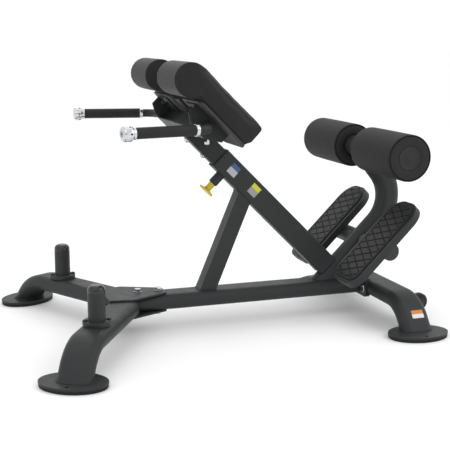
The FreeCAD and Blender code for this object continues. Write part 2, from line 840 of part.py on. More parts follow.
def post_section(sketch, inset):
    flat_oval(sketch, D.post_width, D.post_depth, inset)


def axle_place():
    """The roller axle's place in the slope frame: the end of the post's path."""
    bend_w = D.post_bend_radius * sine(D.post_bend) + D.post_tail * cosine(D.post_bend)
    bend_u = D.post_bend_radius * (1 - cosine(D.post_bend)) + D.post_tail * sine(D.post_bend)
    return D.post_axis_u + bend_u, D.post_bend_w + bend_w


def post():
    """The swan-necked post that carries the footrest and the rollers."""
    run = D.post_bend_w - D.post_start_w
    piece = bent_tube("post", post_section, D.post_wall, run,
                      D.post_bend_radius, D.post_bend, D.post_tail)
    on_slope(piece, D.post_axis_u, 0, D.post_start_w)
    flip = FreeCAD.Rotation(vec(1, 0, 1), FreeCAD.Vector(), vec(-1, 0, 1), "XZY")
    piece.Placement = FreeCAD.Placement(piece.Placement.Base, flip)
    # the beam's top, level in the bench's frame, is a 45 degree line in this one
    level = TUBE_TOP / ROOT_HALF - D.post_axis_u - D.post_start_w
    foot = sketch_on(piece, "XZ")
    outline(foot, (level + 150, -150), (level - 150, 150), (-200, 150), (-200, -150))
    cut(piece, foot)
    axle_u, axle_w = axle_place()
    holes = sketch_on(piece, "XZ")
    circle(holes, D.head_tube_radius, axle_w - D.post_start_w, axle_u - D.post_axis_u)
    circle(holes, D.footrest_tube_radius + 0.05,
           D.footrest_tube_w - D.post_start_w, D.footrest_tube_u - D.post_axis_u)
    cut(piece, holes)
    return node(piece)


def across(label, u, w, y, *profile):
    """A piece turned about a line across the bench: heights in the profile are along +Y."""
    piece = on_slope(turned(label, *profile), u, y, w)
    turn_it = FreeCAD.Rotation(vec(1, 0, 0), FreeCAD.Vector(), vec(0, 1, 0), "XZY")
    piece.Placement = FreeCAD.Placement(piece.Placement.Base, turn_it)
    return piece


def tube_profile(inner, outer, half):
    return (inner, -half), (outer, -half), (outer, half), (inner, half)


def footrest_tube():
    inner = D.footrest_tube_radius - D.footrest_tube_wall
    return node(across(
        "footrest_tube", D.footrest_tube_u, D.footrest_tube_w, 0,
        *tube_profile(inner, D.footrest_tube_radius, D.footrest_tube_half),
    ))


def footrest_tube_caps():
    pieces = []
    plug = D.footrest_tube_radius - D.footrest_tube_wall
    for side, sign in SIDES:
        thick, deep = D.footrest_cap_thick * sign, Size(-14 * sign)
        pieces.append(across(
            f"footrest_tube_cap_{side}", D.footrest_tube_u, D.footrest_tube_w,
            D.footrest_tube_half * sign,
            (0, deep), (plug, deep), (plug, 0), (D.footrest_tube_radius, 0),
            (D.footrest_tube_radius, thick * 0.5), (D.footrest_tube_radius - 1.5, thick),
            (0, thick),
        ))
    return node(group("footrest_tube_caps", pieces))


def plate_outline(sketch, inset):
    """A footplate's outline in its own frame: X runs up the plate."""
    half = D.footplate_width / 2 - inset
    rounded(sketch, D.footplate_low_w + inset, D.footplate_high_w - inset, -half, half,
            D.footplate_round_low - inset, D.footplate_round_high - inset)


def plate_frame(piece, sign, u, w=0):
    """Puts a piece's own Z along the upright's direction, above a footplate's middle."""
    on_slope(piece, u, D.footplate_y * sign, w)
    faced = FreeCAD.Rotation(vec(1, 0, 1), FreeCAD.Vector(), vec(-1, 0, 1), "XZY")
    piece.Placement = FreeCAD.Placement(piece.Placement.Base, faced)
    return piece


def footplate(side, sign):
    """A pressed tray, open below, with a block under it that sits on the footrest tube."""
    piece = plate_frame(body(f"footplate_{side}"), sign, D.footplate_top_u)
    tray = sketch_on(piece, "XY")
    plate_outline(tray, Size(0))
    pad(piece, tray, D.footplate_depth, reverse=True)
    inside = sketch_on(piece, "XY", -D.footplate_sheet - D.mat_recess)
    plate_outline(inside, D.footplate_sheet)
    cut(piece, inside, D.footplate_depth, both_ways=False)
    seat = sketch_on(piece, "XY")
    plate_outline(seat, D.mat_inset)
    cut(piece, seat, D.mat_recess, both_ways=False)
    block = sketch_on(piece, "XY", -D.footplate_sheet - D.mat_recess)
    rectangle(block, D.saddle_block_width, D.saddle_block_half * 2, D.footrest_tube_w, 0)
    pad(piece, block, D.footplate_depth - D.footplate_sheet - D.mat_recess, reverse=True)
    holes = sketch_on(piece, "XY")
    for w in tread_screw_places():
        circle(holes, D.tread_screw_radius + 0.1, w, 0)
    cut(piece, holes, 30)
    drop = D.footrest_tube_u - D.footplate_top_u
    saddle = sketch_on(piece, "XZ")
    circle(saddle, D.footrest_tube_radius + 0.05, D.footrest_tube_w, drop)
    cut(piece, saddle)
    return node(piece)


def tread_screw_places():
    return D.footplate_low_w + D.tread_screw_inset, D.footplate_high_w - D.tread_screw_inset


def tread_screws():
    """A dome-headed screw at each end of each footplate's rim."""
    pieces = []
    for side, sign in SIDES:
        for w in tread_screw_places():
            label = f"tread_screw_{len(pieces) + 1}"
            screw = turned(
                label, (0, 3), (D.tread_screw_head_radius * 0.6, 2.4),
                (D.tread_screw_head_radius, 0.6), (D.tread_screw_head_radius, 0),
                (D.tread_screw_radius, 0), (D.tread_screw_radius, -10), (0, -10),
            )
            pieces.append(plate_frame(screw, sign, D.footplate_top_u, w))
    return node(group("tread_screws", pieces))


def footplate_mat(side, sign):
    """The rubber tread set into the footplate."""
    piece = plate_frame(body(f"footplate_mat_{side}"), sign, D.footplate_top_u - D.mat_recess)
    tread = sketch_on(piece, "XY")
    plate_outline(tread, D.mat_inset + 0.3)
    pad(piece, tread, D.mat_thick)
    return node(piece)


# --- rollers --------------------------------------------------------------------------


def roller_axle():
    u, w = axle_place()
    return node(across("roller_axle", u, w, 0, (0, -D.axle_half), (D.axle_radius, -D.axle_half),
                       (D.axle_radius, D.axle_half), (0, D.axle_half)))


def roller_head_tube():
    u, w = axle_place()
    return node(across("roller_head_tube", u, w, 0,
                       *tube_profile(D.axle_radius, D.head_tube_radius, D.head_tube_half)))


def roller_retainers():
    """Round end plates on the axle that keep the rollers on."""
    u, w = axle_place()
    pieces = []
    for side, sign in SIDES:
        thick = D.retainer_thick * sign
        pieces.append(across(
            f"roller_retainer_{side}", u, w, D.axle_half * sign,
            (0, 0), (D.retainer_radius, 0), (D.retainer_radius, thick),
            (D.dome_radius, thick), (D.dome_radius * 0.6, thick * 2.2), (0, thick * 2.2),
        ))
    return node(group("roller_retainers", pieces))


def roller(side, sign):
    """A foam roller on a plastic core, with a plug in its outer face."""
    u, w = axle_place()
    core_inner = D.roller_core_radius - D.roller_core_wall
    recess_y = D.roller_outer_y - D.roller_recess
    inner, outer = D.roller_inner_y * sign, D.roller_outer_y * sign
    node(across(
        f"roller_core_{side}", u, w, 0,
        (core_inner, inner), (D.roller_core_radius, inner),
        (D.roller_core_radius, recess_y * sign), (core_inner, recess_y * sign),
    ))
    cap_inner = (D.roller_outer_y - D.roller_cap_thick) * sign
    node(across(
        f"roller_foam_{side}", u, w, 0,
        (D.roller_core_radius, inner), (D.roller_radius - 4, inner),
        (D.roller_radius, inner + 4 * sign), (D.roller_radius, outer - 4 * sign),
        (D.roller_radius - 4, outer), (D.roller_cap_radius, outer),
        (D.roller_cap_radius, cap_inner), (D.roller_cap_radius - 8, cap_inner),
        (D.roller_cap_radius - 8, recess_y * sign), (D.roller_core_radius, recess_y * sign),
    ))
    node(across(
        f"roller_cap_{side}", u, w, 0,
        (0, cap_inner), (D.roller_cap_radius, cap_inner), (D.roller_cap_radius, outer), (0, outer),
    ))


# --- pull pin -------------------------------------------------------------------------


def pin_housing():
    low, floor = D.housing_low_w, D.housing_low_w + D.housing_end_wall
    high = -D.upright_depth / 2
    piece = turned(
        "pin_housing",
        (D.housing_bore_radius, high), (D.housing_bore_radius, floor),
        (D.pin_radius + 0.05, floor), (D.pin_radius + 0.05, low),
        (D.housing_radius - 2, low), (D.housing_radius, low + 2), (D.housing_radius, high),
    )
    return node(on_slope(piece, D.pin_u))


def pull_pin():
    """The locking pin: a nose, a spring collar and a rod that the knob is fixed on."""
    low, collar = D.knob_high_w - D.knob_bore_depth, D.pin_collar_w
    piece = turned(
        "pull_pin",
        (0, D.pin_tip_w), (D.pin_radius - 1.5, D.pin_tip_w), (D.pin_radius, D.pin_tip_w - 2),
        (D.pin_radius, collar + D.pin_collar_thick),
        (D.pin_collar_radius, collar + D.pin_collar_thick), (D.pin_collar_radius, collar),
        (D.pin_radius, collar), (D.pin_radius, low), (0, low),
    )
    return node(on_slope(piece, D.pin_u))


def pull_knob():
    bore_low = D.knob_high_w - D.knob_bore_depth
    piece = turned(
        "pull_knob",
        (D.pin_radius, D.knob_high_w), (D.pin_radius, bore_low), (0, bore_low),
        (0, D.knob_low_w), (D.knob_radius - 2, D.knob_low_w),
        (D.knob_radius, D.knob_low_w + 2), (D.knob_radius, D.knob_low_w + 4),
        (D.knob_radius - 2, D.knob_disc_w), (D.knob_neck_radius + 3, D.knob_disc_w + 2),
        (D.knob_neck_radius, D.knob_disc_w + 8), (D.knob_neck_radius + 1, D.knob_high_w),
    )
    return node(on_slope(piece, D.pin_u))


def pin_spring():
    """The coil spring between the pin's collar and the housing's floor."""
    wire = D.spring_wire_radius.value
    low = (D.housing_low_w + D.housing_end_wall).value + wire + 0.1
    high = D.pin_collar_w.value - wire - 0.1
    radius = (D.pin_radius.value + D.housing_bore_radius.value) / 2
    helix = Part.makeHelix((high - low) / D.spring_turns.value, high - low, radius)
    ring = Part.Wire(Part.makeCircle(wire, vec(radius), vec(0, 1, 0)))
    coil = Part.Wire(helix.Edges).makePipeShell([ring], True, True)
    coil.translate(vec(0, 0, low))
    piece = DOC.addObject("Part::Feature", "pin_spring")
    piece.Shape = coil
    return node(on_slope(piece, D.pin_u))


# --- transport wheels -----------------------------------------------------------------


def upright_disc(label, sign, y, *profile):
    """A piece turned about a line across the bench, at a transport wheel's centre."""
    piece = turned(label, *profile)
    return place(piece, (D.wheel_x, y * sign, D.wheel_z), along=(1, 0, 0), up=(0, 1, 0))


def transport_wheel(side, sign):
    half = D.wheel_width / 2
    return node(upright_disc(
        f"transport_wheel_{side}", sign, D.wheel_y,
        (D.wheel_bore_radius, -half), (12, -half), (D.wheel_radius - 3, -half + 1),
        (D.wheel_radius, -half + 4), (D.wheel_radius, half - 4),
        (D.wheel_radius - 3, half - 1), (12, half), (D.wheel_bore_radius, half),
    ))


def wheel_brackets():
    """Two ears each side, welded on the rear of the cross member."""
    pieces = []
    for side, sign in SIDES:
        offset = D.wheel_width / 2 + D.wheel_ear_gap + D.wheel_ear_thick / 2
        for ear, shift in (("inner", -offset), ("outer", offset)):
            piece = body(f"wheel_ear_{side}_{ear}")
            place(piece, (D.wheel_x, D.wheel_y * sign + shift, D.wheel_z))
            face = sketch_on(piece, "XZ")
            round_x = D.cross_x + (D.beam_width - D.beam_height) / 2 - D.wheel_x
            rounded(face, round_x, D.wheel_ear_half, -D.wheel_ear_half, D.wheel_ear_half, 1.5, 12)
            pad(piece, face, D.wheel_ear_thick, both_ways=True)
            holes = sketch_on(piece, "XZ")
            circle(holes, D.wheel_axle_radius, 0, 0)
            circle(holes, D.beam_height / 2 + 0.1, round_x, D.beam_axis_z - D.wheel_z)
            cut(piece, holes)
            pieces.append(piece)
    return node(group("wheel_brackets", pieces))


def wheel_axles():
    pieces = []
    for side, sign in SIDES:
        reach = D.wheel_width / 2 + D.wheel_ear_gap + D.wheel_ear_thick
        radius, head = D.wheel_axle_radius, D.dome_radius
        pieces.append(upright_disc(
            f"wheel_axle_{side}", sign, D.wheel_y,
            (0, -reach - 4), (head * 0.7, -reach - 4), (head, -reach - 2), (head, -reach),
            (radius, -reach), (radius, reach), (head, reach), (head, reach + 2),
            (head * 0.7, reach + 4), (0, reach + 4),
        ))
    return node(group("wheel_axles", pieces))


# --- sliding carriage -----------------------------------------------------------------


def inner_tube():
    """The telescoping tube, with the row of locking holes in its lower wall."""
    piece = on_slope(body("inner_tube"))
    box_tube(piece, D.inner_width, D.inner_depth, D.inner_wall,
             D.inner_low, D.inner_high, D.tube_corner - 2)
    holes = sketch_on(piece, "XY")
    for step in range(int(D.notch_count.value)):
        circle(holes, D.pin_hole_radius, D.pin_u - D.notch_pitch * step, 0)
    cut(piece, holes, D.inner_depth, both_ways=False)
    bolts = sketch_on(piece, "XY")
    for u in (D.tube_bolt_high_u, D.tube_bolt_low_u):
        circle(bolts, D.screw_hole_radius, u, 0)
    cut(piece, bolts, D.inner_depth, both_ways=False)
    cross = sketch_on(piece, "XZ")
    circle(cross, D.screw_hole_radius, D.tube_bolt_side_u, 4)
    cut(piece, cross)
    return node(piece)


def carriage_bolts():
    """Bolts in the tube's lower wall and sides, and one for each handle."""
    shank = D.inner_wall + 6
    size = (D.dome_radius, D.dome_height, D.screw_radius, shank)
    pieces = []
    for name, u in (("high", D.tube_bolt_high_u), ("low", D.tube_bolt_low_u)):
        bolt = on_slope(dome_bolt(f"carriage_bolt_{name}", *size), u, 0, -D.inner_depth / 2)
        facing = FreeCAD.Rotation(vec(-1, 0, 1), FreeCAD.Vector(), vec(-1, 0, -1), "XZY")
        bolt.Placement = FreeCAD.Placement(bolt.Placement.Base, facing)
        pieces.append(bolt)
    for side, sign in SIDES:
        bolt = dome_bolt(f"carriage_bolt_{side}", *size)
        on_slope(bolt, D.tube_bolt_side_u, D.inner_width / 2 * sign, 4)
        facing = FreeCAD.Rotation(vec(1, 0, 0), FreeCAD.Vector(), vec(0, sign, 0), "XZY")
        bolt.Placement = FreeCAD.Placement(bolt.Placement.Base, facing)
        pieces.append(bolt)
        bolt = dome_bolt(f"handle_bolt_{side}", D.dome_radius, D.dome_height,
                         D.screw_radius, D.bracket_sheet)
        inner_face = (D.bracket_outer_y - D.bracket_sheet) * sign
        on_slope(bolt, D.handle_bolt_u, inner_face, D.handle_bolt_w)
        facing = FreeCAD.Rotation(vec(1, 0, 0), FreeCAD.Vector(), vec(0, -sign, 0), "XZY")
        bolt.Placement = FreeCAD.Placement(bolt.Placement.Base, facing)
        pieces.append(bolt)
    return node(group("carriage_bolts", pieces))


def pad_bracket():
    """The folded sheet that holds both pads: side plates with ledges, a floor and an end wall."""
    piece = on_slope(body("pad_bracket"))
    outer, sheet = D.bracket_outer_y, D.bracket_sheet
    low_u, high_u = D.bracket_low_u, D.bracket_high_u
    low_w, high_w = D.bracket_low_w, D.bracket_high_w
    for _, sign in SIDES:
        plate = sketch_on(piece, "XZ", outer * sign - (sheet if sign > 0 else 0))
        outline(
            plate,
            (low_u, low_w + D.bracket_heel_w), (low_u + D.bracket_heel_u, low_w),
            (high_u - D.bracket_toe_u, low_w),
            (high_u - D.bracket_toe_u / 2, low_w + D.bracket_toe_w / 4),
            (high_u, low_w + D.bracket_toe_w), (high_u, high_w), (low_u, high_w),
        )
        pad(piece, plate, sheet)
        ledge = sketch_on(piece, "XY", high_w - sheet)
        ledge_width = outer - D.ledge_inner_y
        ledge_y = (D.ledge_inner_y + ledge_width / 2) * sign
        rectangle(ledge, high_u - low_u, ledge_width, (low_u + high_u) / 2, ledge_y)
        pad(piece, ledge, sheet)
    floor = sketch_on(piece, "XY", low_w)
    heel, lip = low_u + D.bracket_heel_u, high_u - D.bracket_lip_u
    for _, sign in SIDES:
        inner = D.inner_width / 2
        rectangle(floor, lip - heel, outer - inner, (heel + lip) / 2, (outer + inner) / 2 * sign)
    pad(piece, floor, sheet)
    wall = sketch_on(piece, "YZ", D.bracket_wall_u - sheet / 2)
    rectangle(wall, outer * 2, high_w - low_w, 0, (high_w + low_w) / 2)
    pad(piece, wall, sheet)
    toe = sketch_on(piece, "XY", low_w)
    rectangle(toe, lip - D.bracket_wall_u, D.inner_width, (lip + D.bracket_wall_u) / 2, 0)
    pad(piece, toe, sheet)
    holes = sketch_on(piece, "XY")
    for u, y in pad_bolt_places():
        circle(holes, D.pad_bolt_radius + 0.3, u, y)
    cut(piece, holes, high_w * 2)
    cross = sketch_on(piece, "XZ")
    circle(cross, D.screw_hole_radius, D.handle_bolt_u, D.handle_bolt_w)
    cut(piece, cross)
    return node(piece)


def pad_bolt_places():
    return [
        (u, D.pad_bolt_y * sign)
        for u in (D.pad_bolt_low_u, D.pad_bolt_high_u)
        for _, sign in SIDES
    ]


def pad_cross_bars():
    """Flat bars welded on top of the inner tube: one across it and one along it."""
    low = D.inner_depth / 2
    cross = on_slope(body("pad_cross_bar"))
    bar = sketch_on(cross, "XY", low)
    rectangle(bar, D.bar_width, D.ledge_inner_y * 2, D.bar_u, 0)
    pad(cross, bar, D.bracket_sheet)
    spine = on_slope(body("pad_spine"))
    bar = sketch_on(spine, "XY", D.bracket_high_w)
    length = D.bracket_high_u - D.bracket_low_u
    rectangle(bar, length, D.spine_width, D.bracket_low_u + length / 2, 0)
    pad(spine, bar, D.bracket_sheet)
    return node(group("pad_cross_bars", [cross, spine]))


def pad_bolts():
    """Hex bolts up through the ledges into the pad boards."""
    pieces = []
    for u, y in pad_bolt_places():
        bolt = body(f"pad_bolt_{len(pieces) + 1}")
        head = sketch_on(bolt, "XY", D.washer_thick)
        hexagon(head, D.pad_bolt_head_radius)
        pad(bolt, head, D.pad_bolt_head_height)
        washer = sketch_on(bolt, "XY")
        circle(washer, D.pad_bolt_head_radius + 1.5)
        pad(bolt, washer, D.washer_thick)
        rod = sketch_on(bolt, "XY")
        circle(rod, D.pad_bolt_radius)
        pad(bolt, rod, D.bracket_sheet + D.board_thick - 1, reverse=True)
        on_slope(bolt, u, y, D.bracket_high_w - D.bracket_sheet)
        facing = FreeCAD.Rotation(vec(-1, 0, 1), FreeCAD.Vector(), vec(-1, 0, -1), "XZY")
        bolt.Placement = FreeCAD.Placement(bolt.Placement.Base, facing)
        pieces.append(bolt)
    return node(group("pad_bolts", pieces))


def pad_boards():
    """The plywood boards under the hip pads."""
    pieces = []
    middle = (D.pad_inner_y + D.pad_outer_y) / 2
    half = (D.pad_outer_y - D.pad_inner_y) / 2 - D.board_inset
    for side, sign in SIDES:
        piece = on_slope(body(f"pad_board_{side}"))
        face = sketch_on(piece, "XY", D.bracket_high_w)
        centre = middle * sign
        rounded(face, D.board_low_u, D.board_high_u, centre - half, centre + half,
                D.board_round, D.board_round)
        pad(piece, face, D.board_thick)
        holes = sketch_on(piece, "XY")
        for u in (D.pad_bolt_low_u, D.pad_bolt_high_u):
            circle(holes, D.pad_bolt_radius + 0.3, u, D.pad_bolt_y * sign)
        cut(piece, holes, 200)
        pieces.append(piece)
    return node(group("pad_boards", pieces))


def hip_pad(side, sign):
    """A cushion: a flat slab that swells into a round nose at its upper end."""
    piece = on_slope(body(f"hip_pad_{side}"))
    width = D.pad_outer_y - D.pad_inner_y
    start = D.pad_inner_y * sign if sign > 0 else -D.pad_outer_y
    side_face = sketch_on(piece, "XZ", start)
    nose_w = D.pad_high_w - D.nose_radius
    dip = math.asin((nose_w.value - D.pad_low_w.value) / D.nose_radius.value)
    back = D.nose_u.value - D.nose_radius.value * math.cos(dip)
    corners = (
        (back, D.pad_low_w.value), (D.pad_low_u.value, D.pad_low_w.value),
        (D.pad_low_u.value, D.pad_high_w.value), (D.nose_u.value, D.pad_high_w.value),
    )
    lines = [
        side_face.addGeometry(Part.LineSegment(vec(*a), vec(*b)))
        for a, b in zip(corners, corners[1:])
    ]
    nose = arc(side_face, D.nose_u, nose_w, D.nose_radius, -180 + math.degrees(dip), 90)
    for first, second in zip(lines, lines[1:]):
        side_face.addConstraint(Sketcher.Constraint("Coincident", first, 2, second, 1))
    side_face.addConstraint(Sketcher.Constraint("Coincident", lines[2], 2, nose, 2))
    side_face.addConstraint(Sketcher.Constraint("Coincident", lines[0], 1, nose, 1))
    fix(side_face, "Radius", D.nose_radius, nose)
    fix_point(side_face, nose, 3, D.nose_u, nose_w)
    fix_point(side_face, lines[1], 1, D.pad_low_u, D.pad_low_w)
    fix_point(side_face, lines[1], 2, D.pad_low_u, D.pad_high_w)
    fix(side_face, "DistanceX", D.nose_u, -1, 1, lines[2], 2)
    fix(side_face, "DistanceY", D.pad_low_w, -1, 1, lines[0], 1)
    pad(piece, side_face, width)
    low = D.pad_low_u.value + 0.5
    round_edges(piece, D.pad_round, lambda edge: low_end_corner(piece, edge, low))
    base_low = D.bracket_high_w + D.board_thick
    base = sketch_on(piece, "XY", base_low)
    inset = D.board_inset
    centre = (D.pad_inner_y + D.pad_outer_y) / 2 * -sign
    half = width / 2 - inset
    rounded(base, D.board_low_u, D.board_high_u, centre - half, centre + half,
            D.board_round, D.board_round)
    pad(piece, base, D.pad_low_w - base_low)
    return node(piece)


def low_end_corner(piece, edge, low_u):
    """Whether an edge runs across the bench at a cushion's low end."""
    inverse = piece.Placement.inverse()
    ends = [inverse.multVec(v.Point) for v in edge.Vertexes]
    return len(ends) == 2 and all(p.x < low_u for p in ends) and abs(ends[0].z - ends[1].z) < 0.1


# --- handles --------------------------------------------------------------------------


def toe_in(sign):
    """A handle's direction, rearward and slightly inward, and the inward one across it."""
    c, s_ = cosine(D.handle_toe_in), sine(D.handle_toe_in) * -sign
    return (c, s_, 0), (-s_, c, 0) if sign < 0 else (s_, -c, 0)


def handle_point(sign, along):
    (c, s_, _), _ = toe_in(sign)
    return (D.handle_end_x + c * along, D.handle_end_y * sign + s_ * along, D.handle_z)


def ring_section(sketch, inset):
    circle(sketch, D.handle_radius - inset)


def on_handle(piece, sign, along):
    """Stands a turned piece on the handle's axis, its Z pointing rearward."""
    direction, _ = toe_in(sign)
    return place(piece, handle_point(sign, along), along=(0, 0, 1), up=direction)


def handle_tube(side, sign):
    piece = bent_tube(f"handle_tube_{side}", ring_section, D.handle_wall,
                      D.handle_run, D.handle_bend_radius, D.handle_bend, D.handle_tail)
    direction, inward = toe_in(sign)
    place(piece, handle_point(sign, Size(0)), along=direction, up=inward)
    # the pad bracket's outer face, as a line across the tube's own XZ plane
    gap, lean = D.handle_end_y - D.bracket_outer_y, D.handle_toe_in
    near, far = D.handle_run, D.handle_run + 200
    heights = [(gap - sine(lean) * x) / cosine(lean) for x in (near, far)]
    beyond = sketch_on(piece, "XZ")
    outline(beyond, (near, heights[0]), (far, heights[1]), (far, gap + 100), (near, gap + 100))
    cut(piece, beyond)
    return node(piece)


def grip(side, sign):
    piece = turned(
        f"grip_{side}",
        (D.handle_radius, 0), (D.grip_radius - 1, 0), (D.grip_radius, 1.5),
        (D.grip_radius, D.grip_length - 1.5), (D.grip_radius - 1, D.grip_length),
        (D.handle_radius, D.grip_length),
    )
    return node(on_handle(piece, sign, D.grip_start))


def handle_collars():
    pieces = []
    for side, sign in SIDES:
        piece = turned(
            f"handle_collar_{side}",
            (D.handle_radius, 0), (D.collar_radius - 1, 0), (D.collar_radius, 1),
            (D.collar_radius, D.collar_length - 1), (D.collar_radius - 1, D.collar_length),
            (D.handle_radius, D.collar_length),
        )
        pieces.append(on_handle(piece, sign, D.grip_start + D.grip_length))
    return node(group("handle_collars", pieces))


def handle_end_caps():
    """Chrome barrels on the handles' ends, slotted along their sides."""
    pieces = []
    rim, neck = D.knurl_radius, D.knurl_radius - 4
    length, lip = D.end_cap_length, D.end_cap_lip
    for side, sign in SIDES:
        piece = turned(
            f"handle_end_cap_{side}",
            (0, -lip), (rim - 9, -lip), (rim - 3, -lip + 2), (rim, -lip + 7),
            (rim, length - lip - 12), (neck, length - lip - 6),
            (neck, length - lip), (D.handle_radius, length - lip),
            (D.handle_radius, 0), (0, 0),
        )
        slots = sketch_on(piece, "XY", -lip + 8)
        for turn_by in range(0, 360, 60):
            a = math.radians(turn_by)
            circle(slots, 2.2, rim * round(math.cos(a), 9), rim * round(math.sin(a), 9))
        cut(piece, slots, 12, both_ways=False, reverse=True)
        pieces.append(on_handle(piece, sign, Size(0)))
    return node(group("handle_end_caps", pieces))


def build():
    main_beam()
    for side, sign in SIDES:
        front_arm(side, sign)
        rear_leg(side, sign)
        weight_peg(side, sign)
        footplate(side, sign)
        footplate_mat(side, sign)
        roller(side, sign)
        transport_wheel(side, sign)
        hip_pad(side, sign)
        handle_tube(side, sign)
        grip(side, sign)
    feet()
    gusset("hub_plate_top", TUBE_TOP)
    gusset("hub_plate_bottom", TUBE_LOW - D.gusset_thick)
    hub_bolts()
    flange("beam_flange", D.beam_rear_x)
    flange("cross_flange", D.beam_rear_x + D.flange_thick)
    flange_bolts()
    peg_caps()
    peg_bolts()
    upright_tube()
    upright_sleeve()
    strut()
    post()
    footrest_tube()
    footrest_tube_caps()
    tread_screws()
    roller_axle()
    roller_head_tube()
    roller_retainers()
    pin_housing()
    pull_pin()
    pull_knob()
    pin_spring()
    wheel_brackets()
    wheel_axles()
    inner_tube()
    pad_bracket()
    carriage_bolts()
    pad_cross_bars()
    pad_bolts()
    pad_boards()
    handle_collars()
    handle_end_caps()


def export():
    """Checks the whole document, then writes one STEP file for each node."""
    DOC.recompute()
    broken = [o.Label for o in DOC.Objects if {"Invalid", "Error"} & set(o.State)]
    if broken:
        raise ValueError(f"failed objects: {broken}")
    os.makedirs("parts", exist_ok=True)
    for piece in NODES:
        if piece.Shape.isNull() or not piece.Shape.isValid():
            raise ValueError(f"{piece.Label} has no valid shape")
        piece.Shape.exportStep(f"parts/{piece.Label}.step")


build()
export()
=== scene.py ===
import json
import math

import bmesh
import bpy
from mathutils import Matrix, Vector
from mathutils.bvhtree import BVHTree


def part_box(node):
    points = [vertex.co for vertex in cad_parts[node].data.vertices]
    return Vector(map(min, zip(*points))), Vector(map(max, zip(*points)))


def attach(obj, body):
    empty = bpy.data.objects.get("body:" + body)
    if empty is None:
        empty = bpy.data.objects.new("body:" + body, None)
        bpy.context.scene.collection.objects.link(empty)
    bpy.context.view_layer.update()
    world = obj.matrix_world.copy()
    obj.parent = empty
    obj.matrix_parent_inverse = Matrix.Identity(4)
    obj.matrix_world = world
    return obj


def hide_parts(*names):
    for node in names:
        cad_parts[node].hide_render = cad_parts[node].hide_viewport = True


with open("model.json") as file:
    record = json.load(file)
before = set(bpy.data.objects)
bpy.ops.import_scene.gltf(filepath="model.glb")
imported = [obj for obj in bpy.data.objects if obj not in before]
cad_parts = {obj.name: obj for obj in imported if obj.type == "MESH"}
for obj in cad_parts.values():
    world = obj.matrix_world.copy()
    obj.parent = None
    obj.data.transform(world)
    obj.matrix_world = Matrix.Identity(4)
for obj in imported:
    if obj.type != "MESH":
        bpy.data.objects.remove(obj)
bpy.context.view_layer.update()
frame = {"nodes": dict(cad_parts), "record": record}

MM = 0.001
ROOT_HALF = math.sqrt(0.5)
SLOPE_X = 531.5                      # where the 45 degree upright's axis meets the floor
SIDES = (("left", -1), ("right", 1))
UP = Vector((-ROOT_HALF, 0, ROOT_HALF))      # up along the upright
OUT = Vector((ROOT_HALF, 0, ROOT_HALF))      # square to the upright, towards the user


def on_slope(u, y, w):
    """A point, in metres, from millimetres up the upright, across it and square to it."""
    return Vector((SLOPE_X + (w - u) * ROOT_HALF, y, (u + w) * ROOT_HALF)) * MM


def vec(x, y, z):
    """A point, in metres, from millimetres."""
    return Vector((x, y, z)) * MM


# --- materials ------------------------------------------------------------------------


class Nodes:
    """A material's node tree, with short calls for the nodes it is built from."""

    def __init__(self, name):
        self.material = bpy.data.materials.new(name)
        self.material.use_nodes = True
        self.tree = self.material.node_tree
        self.shader = self.tree.nodes["Principled BSDF"]
        self.place = self.add("ShaderNodeTexCoord").outputs["Object"]

    def add(self, kind, **values):
        made = self.tree.nodes.new(kind)
        for key, value in values.items():
            setattr(made, key, value)
        return made

    def link(self, source, target):
        self.tree.links.new(source, target)
        return target

    def noise(self, scale, detail=3.0, roughness=0.55, stretch=None):
        made = self.add("ShaderNodeTexNoise")
        made.inputs["Scale"].default_value = scale
        made.inputs["Detail"].default_value = detail
        made.inputs["Roughness"].default_value = roughness
        self.link(self.stretched(stretch), made.inputs["Vector"])
        return made.outputs["Fac"]

    def cells(self, scale, feature="F1"):
        made = self.add("ShaderNodeTexVoronoi", feature=feature)
        made.inputs["Scale"].default_value = scale
        self.link(self.place, made.inputs["Vector"])
        return made.outputs["Distance"]

    def stretched(self, stretch):
        if not stretch:
            return self.place
        made = self.add("ShaderNodeMapping")
        made.inputs["Scale"].default_value = stretch
        self.link(self.place, made.inputs["Vector"])
        return made.outputs["Vector"]

    def span(self, source, low, high, start=0.3, end=0.7):
        made = self.add("ShaderNodeMapRange")
        self.link(source, made.inputs["Value"])
        for key, value in (("From Min", start), ("From Max", end),
                           ("To Min", low), ("To Max", high)):
            made.inputs[key].default_value = value
        return made.outputs["Result"]

    def blend(self, amount, first, second):
        made = self.add("ShaderNodeMix", data_type="RGBA")
        self.link(amount, made.inputs["Factor"])
        for socket, colour in (("A", first), ("B", second)):
            target = [i for i in made.inputs if i.name == socket and i.type == "RGBA"][0]
            if isinstance(colour, tuple):
                target.default_value = (*colour, 1)
            else:
                self.link(colour, target)
        return [o for o in made.outputs if o.type == "RGBA"][0]

    def bump(self, *layers):
        """Bumps over bumps: each layer is a height, a strength and a depth in metres."""
        last = None
        for height, strength, depth in layers:
            made = self.add("ShaderNodeBump")
            made.inputs["Strength"].default_value = strength
            made.inputs["Distance"].default_value = depth
            self.link(height, made.inputs["Height"])
            if last:
                self.link(last, made.inputs["Normal"])
            last = made.outputs["Normal"]
        self.link(last, self.shader.inputs["Normal"])

    def finish(self, colour, rough, **values):
        if isinstance(colour, tuple):
            self.shader.inputs["Base Color"].default_value = (*colour, 1)
        else:
            self.link(colour, self.shader.inputs["Base Color"])
        if isinstance(rough, (int, float)):
            self.shader.inputs["Roughness"].default_value = rough
        else:
            self.link(rough, self.shader.inputs["Roughness"])
        for key, value in values.items():
            self.shader.inputs[key.replace("_", " ")].default_value = value
        return self.material


def shade(colour, factor):
    """The colour made lighter or darker."""
    return tuple(c * factor for c in colour)


